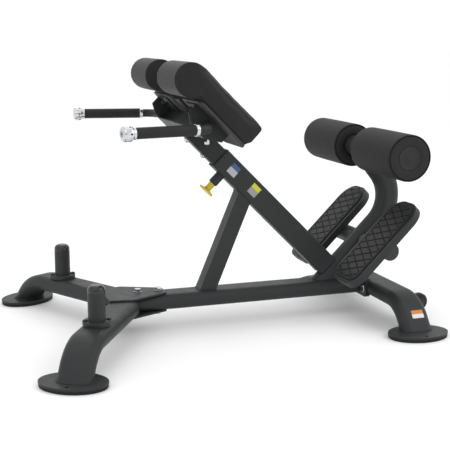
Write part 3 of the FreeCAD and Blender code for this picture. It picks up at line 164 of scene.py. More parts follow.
def powder_coat(name, colour):
    """Fine-textured powder coat: orange peel over a faint speckle."""
    n = Nodes(name)
    cloud = n.span(n.noise(9, 4), 0, 1)
    speck = n.span(n.noise(1600, 1), 0, 1, 0.35, 0.65)
    base = n.blend(cloud, shade(colour, 0.93), shade(colour, 1.07))
    base = n.blend(n.span(speck, 0, 0.35, 0, 1), base, shade(colour, 1.3))
    n.bump((n.noise(1100, 2), 0.16, 0.0003), (n.noise(160, 2), 0.05, 0.0006))
    return n.finish(base, n.span(n.noise(35, 3), 0.42, 0.52), Specular_IOR_Level=0.24)


def polished(name, colour, low, high, brushed=None):
    """Plated metal, faintly smudged, and brushed along one axis when asked."""
    n = Nodes(name)
    smudge = n.noise(60, 4)
    base = n.blend(n.span(smudge, 0, 1), shade(colour, 0.94), colour)
    n.bump((n.noise(900, 2, stretch=brushed), 0.05 if brushed else 0.02, 0.0002))
    return n.finish(base, n.span(smudge, low, high), Metallic=1.0)


def vinyl(name, colour):
    """Grained upholstery vinyl: a pebble of small cells with faint creases."""
    n = Nodes(name)
    pebble = n.cells(520)
    crease = n.cells(190, "DISTANCE_TO_EDGE")
    base = n.blend(n.span(n.noise(14, 4), 0, 1), shade(colour, 0.92), shade(colour, 1.08))
    base = n.blend(n.span(pebble, 0, 0.25, 0.2, 0.8), base, shade(colour, 0.75))
    n.bump((pebble, 0.16, 0.00035), (n.span(crease, 0, 1, 0, 0.15), 0.07, 0.0003),
           (n.noise(28, 3), 0.10, 0.0015))
    return n.finish(base, n.span(n.noise(420, 2), 0.46, 0.58), Specular_IOR_Level=0.18)


def moulded(name, colour, low, high, grain=700, depth=0.0002, strength=0.1, gloss=0.26):
    """Moulded rubber or plastic with a fine grain and slow changes of gloss."""
    n = Nodes(name)
    base = n.blend(n.span(n.noise(22, 3), 0, 1), shade(colour, 0.9), shade(colour, 1.1))
    n.bump((n.noise(grain, 2), strength, depth), (n.noise(90, 2), 0.04, 0.0005))
    return n.finish(base, n.span(n.noise(40, 3), low, high), Specular_IOR_Level=gloss)


def foam(name, colour):
    """Skinned foam: closed pores, soft dimples and no shine."""
    n = Nodes(name)
    pores = n.cells(900)
    base = n.blend(n.span(n.noise(18, 4), 0, 1), shade(colour, 0.94), shade(colour, 1.06))
    # The pores are darkened toward their middles, where the bump sinks them: painted shade in
    # the pits.
    base = n.blend(n.span(pores, 0.3, 0, 0.05, 0.35), base, shade(colour, 0.6))
    n.bump((pores, 0.14, 0.0004), (n.noise(45, 3), 0.1, 0.0012))
    return n.finish(base, n.span(n.noise(300, 2), 0.6, 0.72), Specular_IOR_Level=0.2)


def plywood(name, colour):
    """Painted plywood: long grain showing through a thin grey coat."""
    n = Nodes(name)
    grain = n.noise(60, 5, stretch=(0.6, 6, 0.6))
    base = n.blend(n.span(grain, 0, 1), shade(colour, 0.8), shade(colour, 1.12))
    n.bump((grain, 0.15, 0.0004))
    return n.finish(base, n.span(grain, 0.55, 0.7), Specular_IOR_Level=0.35)


def printed(name, colour):
    """A plain printed film."""
    n = Nodes(name)
    base = n.blend(n.span(n.noise(300, 3), 0, 1), shade(colour, 0.82), colour)
    n.bump((n.noise(500, 2), 0.05, 0.0001))
    return n.finish(base, n.span(n.noise(80, 2), 0.3, 0.42), Specular_IOR_Level=0.5)


MATERIALS = {
    "frame_paint": powder_coat("charcoal_powder_coat", (0.0242, 0.0262, 0.0269)),
    "carriage_paint": powder_coat("dark_powder_coat", (0.0185, 0.0196, 0.0201)),
    "chrome": polished("bright_chrome", (0.62, 0.63, 0.65), 0.06, 0.14),
    "dark_steel": moulded("black_oxide_steel", (0.022, 0.022, 0.024), 0.32, 0.45),
    "zinc_steel": polished("zinc_plate", (0.6, 0.6, 0.58), 0.25, 0.4, (1, 8, 1)),
    "pad_vinyl": vinyl("grained_vinyl", (0.016, 0.016, 0.0162)),
    "roller_foam": foam("skinned_foam", (0.0178, 0.018, 0.018)),
    "roller_plug": moulded("plug_plastic", (0.018, 0.018, 0.0185), 0.5, 0.62),
    "core_plastic": moulded("core_plastic", (0.02, 0.02, 0.02), 0.5, 0.6),
    "grip_rubber": moulded("grip_rubber", (0.014, 0.014, 0.0145), 0.5, 0.62, 1300,
                           0.0003, 0.2),
    "tread_rubber": moulded("tread_rubber", (0.0185, 0.0188, 0.019), 0.5, 0.62, 900,
                            0.0003, 0.18),
    "foot_rubber": moulded("foot_rubber", (0.012, 0.012, 0.0125), 0.6, 0.75, 600,
                           0.0004, 0.2),
    "cap_plastic": moulded("gloss_plastic", (0.014, 0.014, 0.0145), 0.16, 0.26, 300,
                           0.0002, 0.04, 0.5),
    "bush_plastic": moulded("black_nylon", (0.018, 0.018, 0.0185), 0.42, 0.52),
    "knob_plastic": moulded("yellow_plastic", (0.5, 0.4, 0.02), 0.26, 0.38, 500,
                            0.0002, 0.06, 0.4),
    "board": plywood("painted_plywood", (0.036, 0.036, 0.037)),
    "wheel_plastic": moulded("wheel_rubber", (0.016, 0.016, 0.0165), 0.45, 0.6),
}
# Near-black painted shade for the rollers' end grooves, the mats' grooves and the handle caps'
# slots and sockets; also the plain black of the studio card that the chrome mirrors.
SHADE_AND_CARD_BLACK = moulded("seam_shadow", (0.006, 0.006, 0.0062), 0.6, 0.7)

FLAT_SHADED_ANGLE = math.radians(32)


def smooth(mesh, angle=FLAT_SHADED_ANGLE):
    mesh.shade_smooth()
    mesh.set_sharp_from_angle(angle=angle)


def paint_nodes():
    """Gives every CAD node its slot's material and slightly broken edges."""
    slots = {s["node"]: s["material_slot"] for s in frame["record"]["subparts"]}
    for name, piece in frame["nodes"].items():
        piece.data.materials.clear()
        piece.data.materials.append(MATERIALS[slots[name]])
        weld = piece.modifiers.new("weld", "WELD")
        weld.merge_threshold = 1e-5
        edge = piece.modifiers.new("broken_edges", "BEVEL")
        edge.width = BROKEN_EDGE.get(name, 0.0007)
        edge.segments = 2
        edge.limit_method = "ANGLE"
        edge.angle_limit = math.radians(38)
        edge.harden_normals = False
        smooth(piece.data)
        keep = piece.modifiers.new("flat_faces", "WEIGHTED_NORMAL")
        keep.keep_sharp = False
        keep.weight = 100


BROKEN_EDGE = {"pad_boards": 0.0015, "footplate_left": 0.0015, "footplate_right": 0.0015,
               "pull_knob": 0.0015, "pin_spring": 0.0}


# --- building pieces ------------------------------------------------------------------


def piece_from(name, made, slot, body, *stands_for, material=None, smooth_angle=40):
    """A finished piece from a bmesh: its material, its body and what it replaces."""
    mesh = bpy.data.meshes.new(name)
    bmesh.ops.recalc_face_normals(made, faces=made.faces)
    made.to_mesh(mesh)
    made.free()
    return dress(name, mesh, slot, body, *stands_for, material=material,
                 smooth_angle=smooth_angle)


def dress(name, mesh, slot, body, *stands_for, material=None, smooth_angle=40):
    """A finished piece from a mesh."""
    piece = bpy.data.objects.new(name, mesh)
    bpy.context.scene.collection.objects.link(piece)
    mesh.materials.clear()
    mesh.materials.append(material or MATERIALS[slot])
    smooth(mesh, math.radians(smooth_angle))
    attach(piece, body)
    if stands_for:
        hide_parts(*stands_for)
    return piece


def lathe(made, origin, axis, profile, steps=64):
    """Adds a closed turned shape: (radius, distance along the axis) pairs, in millimetres."""
    axis = axis.normalized()
    side = axis.orthogonal().normalized()
    other = axis.cross(side)
    rings = []
    for radius, along in profile:
        centre = origin + axis * along * MM
        if radius <= 0:
            rings.append([made.verts.new(centre)])
            continue
        rings.append([
            made.verts.new(centre + (side * math.cos(a) + other * math.sin(a)) * radius * MM)
            for a in (2 * math.pi * k / steps for k in range(steps))
        ])
    for low, high in zip(rings, rings[1:]):
        for k in range(steps):
            corners = [low[k % len(low)], low[(k + 1) % len(low)],
                       high[(k + 1) % len(high)], high[k % len(high)]]
            corners = list(dict.fromkeys(corners))
            if len(corners) > 2:
                made.faces.new(corners)


SKEW = Vector((0.31, 0.53, 0.79))    # parallel to none of the beads' paths


def bead(made, path, radius, closed=True, steps=8):
    """Adds a weld bead: a rippled strip along a path of points, in metres."""
    points = resampled(path, radius * 0.9, closed)
    count = len(points)
    rings = []
    for i, point in enumerate(points):
        ahead = points[(i + 1) % count] if closed or i < count - 1 else point
        behind = points[i - 1] if closed or i > 0 else point
        run = (ahead - behind).normalized()
        side = run.cross(SKEW).normalized()
        other = run.cross(side)
        size = radius * (1.0 if i % 3 else 0.78)
        rings.append([
            made.verts.new(point + (side * math.cos(a) + other * math.sin(a)) * size)
            for a in (2 * math.pi * k / steps for k in range(steps))
        ])
    pairs = list(zip(rings, rings[1:] + rings[:1] if closed else rings[1:]))
    for low, high in pairs:
        shift = closest_shift(low, high)
        for k in range(steps):
            made.faces.new((low[k], low[(k + 1) % steps],
                            high[(k + 1 + shift) % steps], high[(k + shift) % steps]))
    if not closed:
        made.faces.new(rings[0])
        made.faces.new(rings[-1])


def closest_shift(low, high):
    """How far round the next ring's nearest corner is."""
    gaps = [(low[0].co - corner.co).length for corner in high]
    return gaps.index(min(gaps))


def resampled(path, step, closed):
    """The path's points, evenly spaced."""
    points = list(path) + ([path[0]] if closed else [])
    made = []
    carry = 0.0
    for start, end in zip(points, points[1:]):
        length = (end - start).length
        at = carry
        while at < length:
            made.append(start.lerp(end, at / length))
            at += step
        carry = at - length
    return made


def ring(centre, side, other, half_side, half_other, corner, count=6):
    """A rounded rectangle's outline round a centre, in metres from millimetres."""
    points = []
    for sx, sy, first in ((1, 1, 0), (-1, 1, 90), (-1, -1, 180), (1, -1, 270)):
        for k in range(count + 1):
            a = math.radians(first + 90 * k / count)
            x = sx * (half_side - corner) + corner * math.cos(a)
            y = sy * (half_other - corner) + corner * math.sin(a)
            points.append(centre + (side * x + other * y) * MM)
    return points


# --- hip pads -------------------------------------------------------------------------

PAD_LOW = 51.6                       # height of the pads' flat backs above the upright's axis
NOSE_START = 1010                    # how far up the upright the nose curls under
HELD_END = 1000                      # how far up the backs are fixed to the boards
PAD_SHRINK = 0.0022                  # metres, as are the next two
PAD_CAP = 0.005
PAD_VOXEL = 0.005
LAST_FRAME = 20


def pad_base_height(point):
    """Height, in millimetres, of a point above the upright's axis."""
    return (point.x / MM - SLOPE_X + point.z / MM) * ROOT_HALF


def pad_reach(point):
    """Distance, in millimetres, of a point up the upright."""
    return (SLOPE_X - point.x / MM + point.z / MM) * ROOT_HALF


def shrunk_copy(node, amount):
    """The node's mesh, in even cells and drawn in along its normals."""
    made = bmesh.new()
    made.from_mesh(frame["nodes"][node].data)
    bmesh.ops.remove_doubles(made, verts=made.verts, dist=1e-5)
    mesh = bpy.data.meshes.new(f"{node}_copy")
    made.to_mesh(mesh)
    made.free()
    copy = bpy.data.objects.new(f"{node}_copy", mesh)
    bpy.context.scene.collection.objects.link(copy)
    grid = copy.modifiers.new("grid", "REMESH")
    grid.mode = "VOXEL"
    grid.voxel_size = PAD_VOXEL
    bpy.context.view_layer.update()
    grown = bpy.data.meshes.new_from_object(
        copy.evaluated_get(bpy.context.evaluated_depsgraph_get()))
    bpy.data.objects.remove(copy)
    normals = [v.normal.copy() for v in grown.vertices]
    for vertex, normal in zip(grown.vertices, normals):
        if pad_base_height(vertex.co) > PAD_LOW + 2 or pad_reach(vertex.co) > NOSE_START:
            vertex.co -= normal * amount
    return grown


def puffed(mesh, held):
    """The mesh after a short cloth simulation that fills it with air."""
    piece = bpy.data.objects.new("puffing", mesh)
    bpy.context.scene.collection.objects.link(piece)
    pins = piece.vertex_groups.new(name="held")
    pins.add([v.index for v in mesh.vertices if held(v.co)], 1.0, "REPLACE")
    cloth = piece.modifiers.new("cloth", "CLOTH")
    settings = cloth.settings
    settings.quality = 5
    settings.mass = 0.4
    settings.tension_stiffness = 60
    settings.compression_stiffness = 60
    settings.shear_stiffness = 30
    settings.bending_stiffness = 8
    settings.use_pressure = True
    settings.uniform_pressure_force = 4
    settings.vertex_group_mass = "held"
    settings.effector_weights.gravity = 0
    cloth.collision_settings.use_self_collision = False
    cloth.point_cache.frame_start = 1
    cloth.point_cache.frame_end = LAST_FRAME
    scene = bpy.context.scene
    for step in range(1, LAST_FRAME + 1):
        scene.frame_set(step)
    shape = bpy.data.meshes.new_from_object(
        piece.evaluated_get(bpy.context.evaluated_depsgraph_get()))
    bpy.data.objects.remove(piece)
    scene.frame_set(1)
    return shape


def capped(mesh, start, limit):
    """Pulls back each vertex that moved further than the limit from its start."""
    for vertex, point in zip(mesh.vertices, start):
        move = vertex.co - point
        if move.length > limit:
            vertex.co = point + move.normalized() * limit


def hip_pads():
    """The hip cushions, filled with air on their boards."""
    for side, sign in SIDES:
        node = f"hip_pad_{side}"
        mesh = shrunk_copy(node, PAD_SHRINK)
        start = [v.co.copy() for v in mesh.vertices]
        shape = puffed(mesh, lambda p: pad_base_height(p) < PAD_LOW + 1.5
                       and pad_reach(p) < HELD_END)
        capped(shape, start, PAD_CAP)
        mesh = shape
        piece = dress(f"hip_cushion_{side}", mesh, "pad_vinyl", "carriage", node,
                      smooth_angle=60)
        soften = piece.modifiers.new("even", "SMOOTH")
        soften.factor = 0.5
        soften.iterations = 2
        finer = piece.modifiers.new("finer", "SUBSURF")
        finer.levels = finer.render_levels = 1


# --- foam rollers ---------------------------------------------------------------------

PLUG_R, CORE_R = 37.0, 20.0
ROLLER_IN, ROLLER_OUT = 61.0, 320.0  # the sleeve's ends, from the bench's middle
RECESS = 5


def roller_profile(low, high):
    """A foam sleeve's section: a soft shoulder, a moulded ring in each end, a swollen middle."""
    def end(at, inward):
        return [
            (PLUG_R + 0.3, at + inward * RECESS), (PLUG_R + 0.3, at + inward * 1.2),
            (PLUG_R + 1.4, at + inward * 0.1), (64.6, at + inward * 0.4),
            (65.6, at + inward * 1.0), (66.1, at + inward * 4.0), (67.5, at + inward * 4.0),
            (68.0, at + inward * 0.6), (68.8, at), (70.0, at + inward * 0.4),
            (70.8, at + inward * 1.6), (71.0, at + inward * 4),
        ]
    middle = []
    for k in range(1, 12):
        t = k / 12
        middle.append((71.0 + 0.4 * math.sin(math.pi * t), low + (high - low) * t))
    return end(low, 1) + middle + end(high, -1)[::-1]


def rollers():
    """The foam sleeves, with painted shade in the groove of the ring moulded round each end."""
    for side, sign in SIDES:
        low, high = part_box(f"roller_foam_{side}")
        centre = (low + high) / 2
        origin = Vector((centre.x, 0, centre.z))
        made = bmesh.new()
        profile = [(CORE_R, ROLLER_IN + RECESS), *roller_profile(ROLLER_IN, ROLLER_OUT),
                   (CORE_R, ROLLER_OUT - RECESS), (CORE_R, ROLLER_IN + RECESS)]
        lathe(made, origin, Vector((0, sign, 0)), profile, 96)
        bmesh.ops.remove_doubles(made, verts=made.verts, dist=1e-6)
        piece = piece_from(f"foam_sleeve_{side}", made, "roller_foam", f"roller_{side}",
                           f"roller_foam_{side}", smooth_angle=50)
        # Painted shade: the faces in the end ring's groove get the near-black material.
        piece.data.materials.append(SHADE_AND_CARD_BLACK)
        for face in piece.data.polygons:
            reach = [math.hypot(piece.data.vertices[v].co.x - origin.x,
                                piece.data.vertices[v].co.z - origin.z) / MM
                     for v in face.vertices]
            if min(reach) > 65.4 and max(reach) < 68.1:
                face.material_index = 1
        plug(side, sign, origin)


def plug(side, sign, origin):
    """The moulded plug in a roller's outer end: a dished disc with a rim and a centre boss."""
    made = bmesh.new()
    at = ROLLER_OUT
    lathe(made, origin, Vector((0, sign, 0)), [
        (0, at - 0.9), (9, at - 0.9), (9.6, at - 1.2), (30.5, at - 1.4), (31.5, at - 1.0),
        (32.2, at - 0.3), (35.4, at - 0.1), (36.4, at - 0.5), (PLUG_R - 0.1, at - 1.4),
        (PLUG_R - 0.1, at - RECESS), (0, at - RECESS),
    ], 96)
    piece_from(f"roller_plug_{side}", made, "roller_plug", f"roller_{side}",
               f"roller_cap_{side}", smooth_angle=50)


# --- footplate mats -------------------------------------------------------------------

MAT_INSET = 13.3                     # from the plate's edge to the mat's
MAT = {"low": -26 + MAT_INSET, "high": 307 - MAT_INSET, "y": 175, "half": 83 - MAT_INSET,
       "round_low": 46 - MAT_INSET, "round_high": 64 - MAT_INSET}
PLATE_TOP = 238                      # the plates' upper face, up the upright
DIAMOND_MIDDLE = 129                 # a diamond's middle along the mat


def mat_outline(inset, count=10):
    """The mat's outline (w, y) about its own middle, drawn in by inset."""
    low, high = MAT["low"] + inset, MAT["high"] - inset
    half = MAT["half"] - inset
    small, large = MAT["round_low"] - inset, MAT["round_high"] - inset
    points = []
    for cw, cy, r, first in ((high - large, half - large, large, 0),
                             (low + small, half - small, small, 90),
                             (low + small, -half + small, small, 180),
                             (high - large, -half + large, large, 270)):
        for k in range(count + 1):
            a = math.radians(first + 90 * k / count)
            points.append((cw + r * math.cos(a), cy + r * math.sin(a)))
    return points


def clipped(shape, outline):
    """The part of a convex shape inside a convex outline, both turning the same way."""
    for (ax, ay), (bx, by) in zip(outline, outline[1:] + outline[:1]):
        if math.hypot(bx - ax, by - ay) < 1e-6:
            continue
        kept = []
        for (px, py), (qx, qy) in zip(shape, shape[1:] + shape[:1]):
            p_in = (bx - ax) * (py - ay) - (by - ay) * (px - ax)
            q_in = (bx - ax) * (qy - ay) - (by - ay) * (qx - ax)
            if p_in >= 0:
                kept.append((px, py))
            if (p_in > 0) != (q_in > 0) and p_in != q_in:
                t = p_in / (p_in - q_in)
                kept.append((px + (qx - px) * t, py + (qy - py) * t))
        shape = kept
        if len(shape) < 3:
            return []
    return shape


def area(shape):
    return 0.5 * sum(a[0] * b[1] - b[0] * a[1] for a, b in zip(shape, shape[1:] + shape[:1]))


def drawn_in(shape, amount):
    """A convex shape with every side moved inward, by clipping with its own moved sides."""
    made = shape
    for (ax, ay), (bx, by) in zip(shape, shape[1:] + shape[:1]):
        length = math.hypot(bx - ax, by - ay)
        if length < 1e-6:
            continue
        nx, ny = -(by - ay) / length * amount, (bx - ax) / length * amount
        far = 1000
        dx, dy = (bx - ax) / length * far, (by - ay) / length * far
        half_plane = [(ax + nx - dx, ay + ny - dy), (bx + nx + dx, by + ny + dy),
                      (bx + nx * far + dx, by + ny * far + dy),
                      (ax + nx * far - dx, ay + ny * far - dy)]
        made = clipped(made, half_plane)
        if len(made) < 3:
            return []
    return made


def raised(made, shape, low, high, chamfer, at):
    """Adds a prism with a chamfered top."""
    top = drawn_in(shape, chamfer)
    if len(top) < 3 or area(top) < 4:
        return
    rings = []
    for outline, height in ((shape, low), (shape, high - chamfer * 0.8)):
        rings.append([made.verts.new(at(w, y, height)) for w, y in outline])
    count = len(shape)
    for k in range(count):
        made.faces.new((rings[0][k], rings[0][(k + 1) % count],
                        rings[1][(k + 1) % count], rings[1][k]))
    cap = [made.verts.new(at(w, y, high)) for w, y in top]
    bridge(made, rings[1], cap)
    made.faces.new(cap)
    made.faces.new(rings[0][::-1])


def bridge(made, outer, inner):
    """Faces between two closed rings with different numbers of corners."""
    nearest = []
    for corner in outer:
        gaps = [(corner.co - other.co).length for other in inner]
        nearest.append(gaps.index(min(gaps)))
    for k, first in enumerate(nearest):
        after = (k + 1) % len(outer)
        step = nearest[after]
        corners = [outer[k], outer[after], inner[step]]
        while step != first and len(corners) < len(inner) + 3:
            step = (step - 1) % len(inner)
            corners.append(inner[step])
        made.faces.new(corners)


def mats():
    """Rubber mats with a raised rim and raised diamonds."""
    cell_w, cell_y, groove = 31.0, 69.0, 2.0
    base_low, base_high, rim_high = -2.6, 1.6, 4.0
    for side, sign in SIDES:
        def at(w, y, height):
            return on_slope(PLATE_TOP + height, sign * MAT["y"] + y, w)
        made = bmesh.new()
        raised(made, mat_outline(0.4), base_low, base_high, 0.6, at)
        rings = [[made.verts.new(at(w, y, h)) for w, y in outline] for outline, h in (
            (mat_outline(0.6), base_high - 0.6), (mat_outline(0.9), rim_high - 0.7),
            (mat_outline(1.8), rim_high), (mat_outline(4.4), rim_high),
            (mat_outline(5.4), rim_high - 0.7), (mat_outline(5.8), base_high - 0.6))]
        for low, high in zip(rings, rings[1:] + rings[:1]):
            count = len(low)
            for k in range(count):
                made.faces.new((low[k], low[(k + 1) % count],
                                high[(k + 1) % count], high[k]))
        window = mat_outline(7)
        for row in range(-22, 23):
            for column in range(-3, 4):
                cw = DIAMOND_MIDDLE + row * cell_w / 2
                cy = (column + 0.5 * (row % 2)) * cell_y
                diamond = [(cw + cell_w / 2, cy), (cw, cy + cell_y / 2),
                           (cw - cell_w / 2, cy), (cw, cy - cell_y / 2)]
                shape = clipped(drawn_in(diamond, groove), window)
                if len(shape) > 2 and area(shape) > 25:
                    raised(made, shape, base_high - 0.4, rim_high - 0.2, 0.9, at)
        piece = piece_from(f"tread_mat_{side}", made, "tread_rubber", "frame",
                           f"footplate_mat_{side}", smooth_angle=30)
        # Painted shade: the groove floors between the diamonds and inside the rim, below the
        # base's top, get the near-black material.
        piece.data.materials.append(SHADE_AND_CARD_BLACK)
        floor = PLATE_TOP + base_high + 0.2
        for face in piece.data.polygons:
            if all(pad_reach(piece.data.vertices[v].co) < floor for v in face.vertices):
                face.material_index = 1


# --- small rubber and chrome pieces ---------------------------------------------------


HANDLE_TIP = (-378, 357, 651)
TOE_IN = 11                          # degrees
GRIP_START, GRIP_LENGTH = 26, 182    # from the handle's tip
CAP_R, CAP_LIP = 22, 11              # the chrome end: its radius, and how far it covers the tip


def grips():
    """Hand grips: a moulded sleeve with a rolled bead at each end and fine ribs."""
    for side, sign in SIDES:
        start, along, length = handle_line(side)
        made = bmesh.new()
        profile = [(13.05, 0), (14.8, 0), (15.7, 0.5), (16.0, 1.6), (16.0, 4.4), (15.7, 5.4),
                   (15.2, 6.0)]
        first, last = 8.0, length - 8.0
        count = 46
        for k in range(count):
            at = first + (last - first) * k / count
            step = (last - first) / count
            profile += [(15.75, at), (15.75, at + step * 0.7), (15.55, at + step * 0.85)]
        profile += [(15.2, length - 6), (15.7, length - 5.4), (16.0, length - 4.4),
                    (16.0, length - 1.6), (15.7, length - 0.5), (14.8, length),
                    (13.05, length), (13.05, 0)]
        lathe(made, start, along, profile, 48)
        bmesh.ops.remove_doubles(made, verts=made.verts, dist=1e-7)
        piece_from(f"hand_grip_{side}", made, "grip_rubber", "carriage", f"grip_{side}",
                   smooth_angle=50)


def handle_line(side):
    """Where a grip starts, the way it runs and its length in millimetres."""
    sign = dict(SIDES)[side]
    toe = math.radians(TOE_IN)
    along = Vector((math.cos(toe), -math.sin(toe) * sign, 0))
    tip = vec(HANDLE_TIP[0], HANDLE_TIP[1] * sign, HANDLE_TIP[2])
    return tip + along * GRIP_START * MM, along, GRIP_LENGTH


def cap_slot_shade():
    """Painted shade for the slots round the handles' chrome ends and the socket in each end's
    face: near-black marks where those hollows are.
    """
    made = bmesh.new()
    for side, _ in SIDES:
        start, along, _ = handle_line(side)
        tip = start - along * GRIP_START * MM
        across = along.orthogonal().normalized()
        other = along.cross(across)
        for k in range(6):
            a = math.radians(60 * k + 15)
            outward = across * math.cos(a) + other * math.sin(a)
            sideways = along.cross(outward)
            place = Matrix((along * 3.4 * MM, sideways * 2.9 * MM, outward * 0.7 * MM))
            place = place.transposed().to_4x4()
            place.translation = tip + along * 9.5 * MM + outward * (CAP_R - 0.3) * MM
            bmesh.ops.create_uvsphere(made, u_segments=16, v_segments=8, radius=1,
                                      matrix=place)
        for low, high in ((0, 3.4), (6.6, 7.8)):
            lathe(made, tip - along * CAP_LIP * MM, along, [
                (low, -0.25), (high, -0.25), (high, 0.6), (low, 0.6), (low, -0.25)], 32)
    bmesh.ops.remove_doubles(made, verts=made.verts, dist=1e-7)
    piece_from("cap_slot_shade", made, "cap_plastic", "carriage", material=SHADE_AND_CARD_BLACK)


FOOT_PLACES = ((-551.5, 449, 30), (527.5, 350, 0))    # x, y and degrees turned


def feet():
    """Each foot plate's middle on the floor, and the ways its long and short axes run."""
    for x, y, turn_by in FOOT_PLACES:
        for _, sign in SIDES:
            a = math.radians(turn_by * sign)
            outward = Vector((-math.sin(a) * sign, math.cos(a) * sign, 0))
            along = Vector((outward.y, -outward.x, 0))
            yield vec(x, y * sign, 0), along, outward


def rubber_feet():
    """Ribbed rubber pads under the four foot plates."""
    made = bmesh.new()
    for centre, along, outward in feet():
        ribbed_oval(made, centre, along, outward)
    piece_from("rubber_feet", made, "foot_rubber", "frame", "foot_pads", smooth_angle=35)


def ribbed_oval(made, centre, along, outward):
    """An oval pad with upright ribs round its edge and a hole through it."""
    count, sides = 132, 24
    half_length, half_width = 95, 69
    hole, hole_at = 5.0, 52
    rings = []
    for grow, height in ((-3.2, 0), (-1.2, 0.9), (-0.2, 2.2), (0, 5), (0, 7.6), (-0.9, 9.9)):
        points = []
        for k in range(count):
            a = 2 * math.pi * k / count
            rib = -0.9 if k % 2 and 0.5 < height < 8 else 0.0
            r_x, r_y = half_length + grow + rib, half_width + grow + rib
            points.append(made.verts.new(
                centre + (along * r_x * math.cos(a) + outward * r_y * math.sin(a)) * MM
                + Vector((0, 0, height * MM))))
        rings.append(points)
    for low, high in zip(rings, rings[1:]):
        for k in range(count):
            made.faces.new((low[k], low[(k + 1) % count], high[(k + 1) % count], high[k]))
    drill = centre + outward * hole_at * MM
    bores = []
    for height in (0, 9.9):
        bores.append([made.verts.new(
            drill + (along * math.cos(a) + outward * math.sin(a)) * hole * MM
            + Vector((0, 0, height * MM)))
            for a in (2 * math.pi * k / sides for k in range(sides))])
    for k in range(sides):
        after = (k + 1) % sides
        made.faces.new((bores[0][k], bores[1][k], bores[1][after], bores[0][after]))
    for outer, bore in ((rings[0], bores[0]), (rings[-1], bores[1])):
        edges = []
        for loop in (outer, bore):
            for one, two in zip(loop, loop[1:] + loop[:1]):
                edges.append(made.edges.get((one, two)) or made.edges.new((one, two)))
        bmesh.ops.triangle_fill(made, use_beauty=True, use_dissolve=False, edges=edges)


BEAM_TOP, PLATE_LEVEL = 114, 16      # heights of the beam's and the foot plates' upper faces
STRUT_FOOT_X, STRUT_HALF = -44, 25
UPRIGHT_HALF = 35


def welds():
    """Painted weld beads where the tubes meet."""
    made = bmesh.new()
    x_axis, y_axis = Vector((1, 0, 0)), Vector((0, 1, 0))
    lean = math.radians(67.3)
    # the strut's foot, a square tube cut level on the beam
    half_x = STRUT_HALF / math.sin(lean)
    foot = vec(STRUT_FOOT_X, 0, BEAM_TOP + 0.6)
    bead(made, ring(foot, x_axis, y_axis, half_x + 1.2, 26.2, 5), 0.0021)
    # the strut's head, on the upright's underside
    run = (math.cos(lean), math.sin(lean))
    under = SLOPE_X - UPRIGHT_HALF / ROOT_HALF
    reach = (under - STRUT_FOOT_X - BEAM_TOP) / (run[0] + run[1])
    head = vec(STRUT_FOOT_X + run[0] * reach, 0, BEAM_TOP + run[1] * reach)
    half_u = STRUT_HALF / math.sin(lean + math.radians(45))
    bead(made, ring(head - OUT * 0.6 * MM, UP, y_axis, half_u + 1.2, 23.5, 4), 0.0021)
    # the legs on their foot plates
    for centre, along, outward in feet():
        foot_ring(made, centre, along, outward)
    # the footrest tube through the post
    for _, sign in SIDES:
        centre = on_slope(189, sign * 30.6, 146.5)
        bead(made, circle_path(centre, UP, OUT, 29.4), 0.0019)
    piece_from("frame_welds", made, "frame_paint", "frame", smooth_angle=60)


def circle_path(centre, side, other, radius, count=40):
    """A circle's points, its radius in millimetres."""
    return [centre + (side * math.cos(a) + other * math.sin(a)) * radius * MM
            for a in (2 * math.pi * k / count for k in range(count))]


def foot_ring(made, centre, along, outward):
    """The bead round a leg's foot: found where the leg's mesh meets the plate's top."""
    mesh = frame["nodes"][nearest_leg(centre)].data
    level = PLATE_LEVEL * MM
    points = []
    for vertex in mesh.vertices:
        if abs(vertex.co.z - level) < 2e-4:
            points.append(vertex.co.copy())
    if len(points) < 8:
        return
    middle = sum(points, Vector()) / len(points)
    outer = {}
    for point in points:
        flat = Vector((point.x - middle.x, point.y - middle.y, 0))
        angle = round(math.degrees(math.atan2(flat.dot(outward), flat.dot(along))) / 4)
        if angle not in outer or flat.length > outer[angle].length:
            outer[angle] = flat
    loop = [outer[a] for a in sorted(outer)]
    loop = hull(loop, along, outward)
    path = [Vector((middle.x, middle.y, level + 0.0004)) + p + p.normalized() * 0.0008
            for p in loop]
    bead(made, path, 0.0024)


def hull(points, along, outward):
    """The convex outline of flat points, in order."""
    flat = sorted({(round(p.dot(along), 6), round(p.dot(outward), 6)) for p in points})

    def half(sequence):
        made = []
        for p in sequence:
            while len(made) > 1 and (
                    (made[-1][0] - made[-2][0]) * (p[1] - made[-2][1])
                    - (made[-1][1] - made[-2][1]) * (p[0] - made[-2][0])) <= 0:
                made.pop()
            made.append(p)
        return made[:-1]
    return [along * a + outward * b for a, b in half(flat) + half(flat[::-1])]


def nearest_leg(centre):
    row = "front" if centre.x < 0 else "rear"
    side = "left" if centre.y < 0 else "right"
    return f"{row}_leg_{side}"


# --- blank printed labels -------------------------------------------------------------


